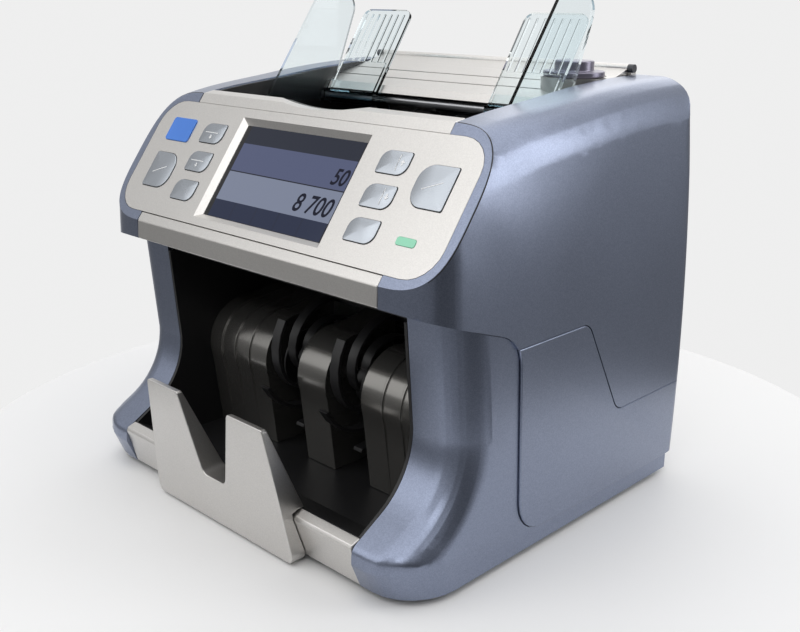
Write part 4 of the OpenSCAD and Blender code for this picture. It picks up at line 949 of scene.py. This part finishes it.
def makeGuide(nodeName):
    obj = moulded(nodeName, guideClear, guideSet["edge"])
    obj.data.materials.append(guideRibShaded)
    obj.data.materials.append(guideCutShaded)
    lean = math.radians(guideSet["lean"])
    sheetNormals = (Vector((1, 0, 0)), Vector((0, math.cos(lean), -math.sin(lean))))
    # Faces not lying along a sheet get painted shade: large ones the cut-edge shade, small ones the rib
    # shade
    for poly in obj.data.polygons:
        if max(abs(poly.normal.dot(n)) for n in sheetNormals) < guideSet["flat"]:
            poly.material_index = 2 if poly.area > guideSet["cutArea"] * mm * mm else 1


for name in guideSet["nodes"]:
    makeGuide(name)
print("pocket and hopper made")


insideSet = {
    "steel": ["base_plate", "stacker_shaft", "pickup_shaft", "feed_shaft", "drive_shaft", "guide_rod",
              "retard_bracket", "tie_rods", "shaft_bearings", "left_frame", "right_frame", "motor_pulley",
              "display_module"],
    "rubber": ["rubber_feet", "pickup_rollers", "feed_rollers", "drive_rollers", "pinch_rollers",
               "retard_rollers", "timing_belts"],
    "board": ["key_board", "main_board"],
    "casing": ["drive_motor", "power_supply", "scanner_bars"],
}
insideMats = {"steel": steelPlate, "rubber": rubberDark, "board": boardGreen, "casing": casingGrey}
for kind, names in insideSet.items():
    for name in names:
        paintNode(name, insideMats[kind])
print("inside painted")


# Round table, room and lamps
tableSet = {
    "middle": (-0.002, 0.038, 0), "radius": 0.301, "depth": 0.02, "round": 0.003, "arcSteps": 6,
    "sides": 128, "angle": 25, "tones": ((0.82, 0.82, 0.82, 1), (0.80, 0.80, 0.805, 1)),
    "cloudScale": 3.0, "cloudDetail": 2.0, "rough": 0.5, "specular": 0.25,
}


def makeTable():
    t = tableSet
    radius, depth, edge, sides = t["radius"], t["depth"], t["round"], t["sides"]
    arc = [math.pi / 2 * i / t["arcSteps"] for i in range(t["arcSteps"] + 1)]
    profile = [(radius - edge + edge * math.sin(a), -edge + edge * math.cos(a)) for a in arc]
    profile += [(radius, -depth), (radius - edge, -depth - edge)]
    turns = [2 * math.pi * k / sides for k in range(sides)]
    bm = bmesh.new()
    skinRings(bm, [[bm.verts.new((r * math.cos(a), r * math.sin(a), z)) for a in turns] for r, z in profile])
    mesh = toMesh("studioTable", bm)
    smoothByAngle(mesh, t["angle"])
    obj = linkNew("studioTable", mesh)
    obj.location = t["middle"]
    mat, tree, bsdf = newMaterial("tablePale")
    cloud = objectNoise(tree, t["cloudScale"], t["cloudDetail"])
    tree.links.new(mixColor(tree, cloud, *t["tones"]), bsdf.inputs["Base Color"])
    setInputs(bsdf, Roughness=t["rough"], Specular_IOR_Level=t["specular"])
    mesh.materials.append(mat)


# Dark below the table's height, pale walls above it, a dark part at the right and a pale backdrop
roomSet = {
    "below": 0.24, "floorEdge": (-0.10, 0.08), "wallFoot": 0.36, "wallHead": 0.62, "wallRise": (0.05, 0.62),
    "parts": [
        {"level": 0.12, "way": (0.98, -0.17, -0.09), "edge": (0.57, 0.87)},
        {"level": 0.86, "way": (-0.70, 0.714, 0.0), "edge": (0.70, 0.86)},
    ],
}


def makeRoom():
    world = bpy.data.worlds.new("studioRoom")
    bpy.context.scene.world = world
    world.use_nodes = True
    tree = world.node_tree
    coord = addNode(tree, "ShaderNodeTexCoord")
    way = addNode(tree, "ShaderNodeSeparateXYZ")
    tree.links.new(coord.outputs["Generated"], way.inputs[0])
    wall = mapRange(tree, way.outputs["Z"], *roomSet["wallRise"], roomSet["wallFoot"], roomSet["wallHead"])
    above = mapRange(tree, way.outputs["Z"], *roomSet["floorEdge"])
    lift = mathNode(tree, "MULTIPLY", mathNode(tree, "SUBTRACT", wall, roomSet["below"]), above)
    room = mathNode(tree, "ADD", lift, roomSet["below"])
    for part in roomSet["parts"]:
        along = addNode(tree, "ShaderNodeVectorMath", operation="DOT_PRODUCT")
        tree.links.new(coord.outputs["Generated"], along.inputs[0])
        along.inputs[1].default_value = part["way"]
        mask = mapRange(tree, along.outputs["Value"], *part["edge"])
        change = mathNode(tree, "MULTIPLY", mathNode(tree, "SUBTRACT", part["level"], room), mask)
        room = mathNode(tree, "ADD", room, change)
    tree.links.new(room, tree.nodes["Background"].inputs["Strength"])
    tree.nodes["Background"].inputs["Color"].default_value = (1, 1, 1, 1)


# Soft boxes by place, target, size and how bright their faces are
lampSet = {
    "topBox": {"place": (-0.05, 0.0, 1.3), "target": (-0.05, 0.0, 0.0), "size": (2.0, 2.0), "bright": 0.92},
    "frontBox": {"place": (-0.68, -1.16, 0.78), "target": (0.0, 0.0, 0.12),
                 "size": (1.15, 1.0), "bright": 1.1},
    "rightBox": {"place": (1.14, 0.86, 0.61), "target": (0.0, 0.0, 0.15),
                 "size": (0.50, 1.2), "bright": 3.1},
    "cameraBox": {"place": (0.63, -0.96, 1.08), "target": (0.0, 0.0, 0.12),
                  "size": (0.6, 0.6), "bright": 1.5},
    "backBox": {"place": (-0.45, 1.24, 0.82), "target": (0.0, 0.0, 0.12),
                "size": (0.9, 0.6), "bright": 1.1},
}


def softBox(name, lamp):
    data = bpy.data.lights.new(name, "AREA")
    data.shape = "RECTANGLE"
    data.size, data.size_y = lamp["size"]
    data.energy = lamp["bright"] * math.pi * data.size * data.size_y
    obj = linkNew(name, data)
    obj.location = lamp["place"]
    way = Vector(lamp["target"]) - Vector(lamp["place"])
    obj.rotation_euler = way.to_track_quat("-Z", "Y").to_euler()


makeTable()
makeRoom()
for name, lamp in lampSet.items():
    softBox(name, lamp)
bpy.context.scene.view_settings.view_transform = "Standard"
print("stage lit")
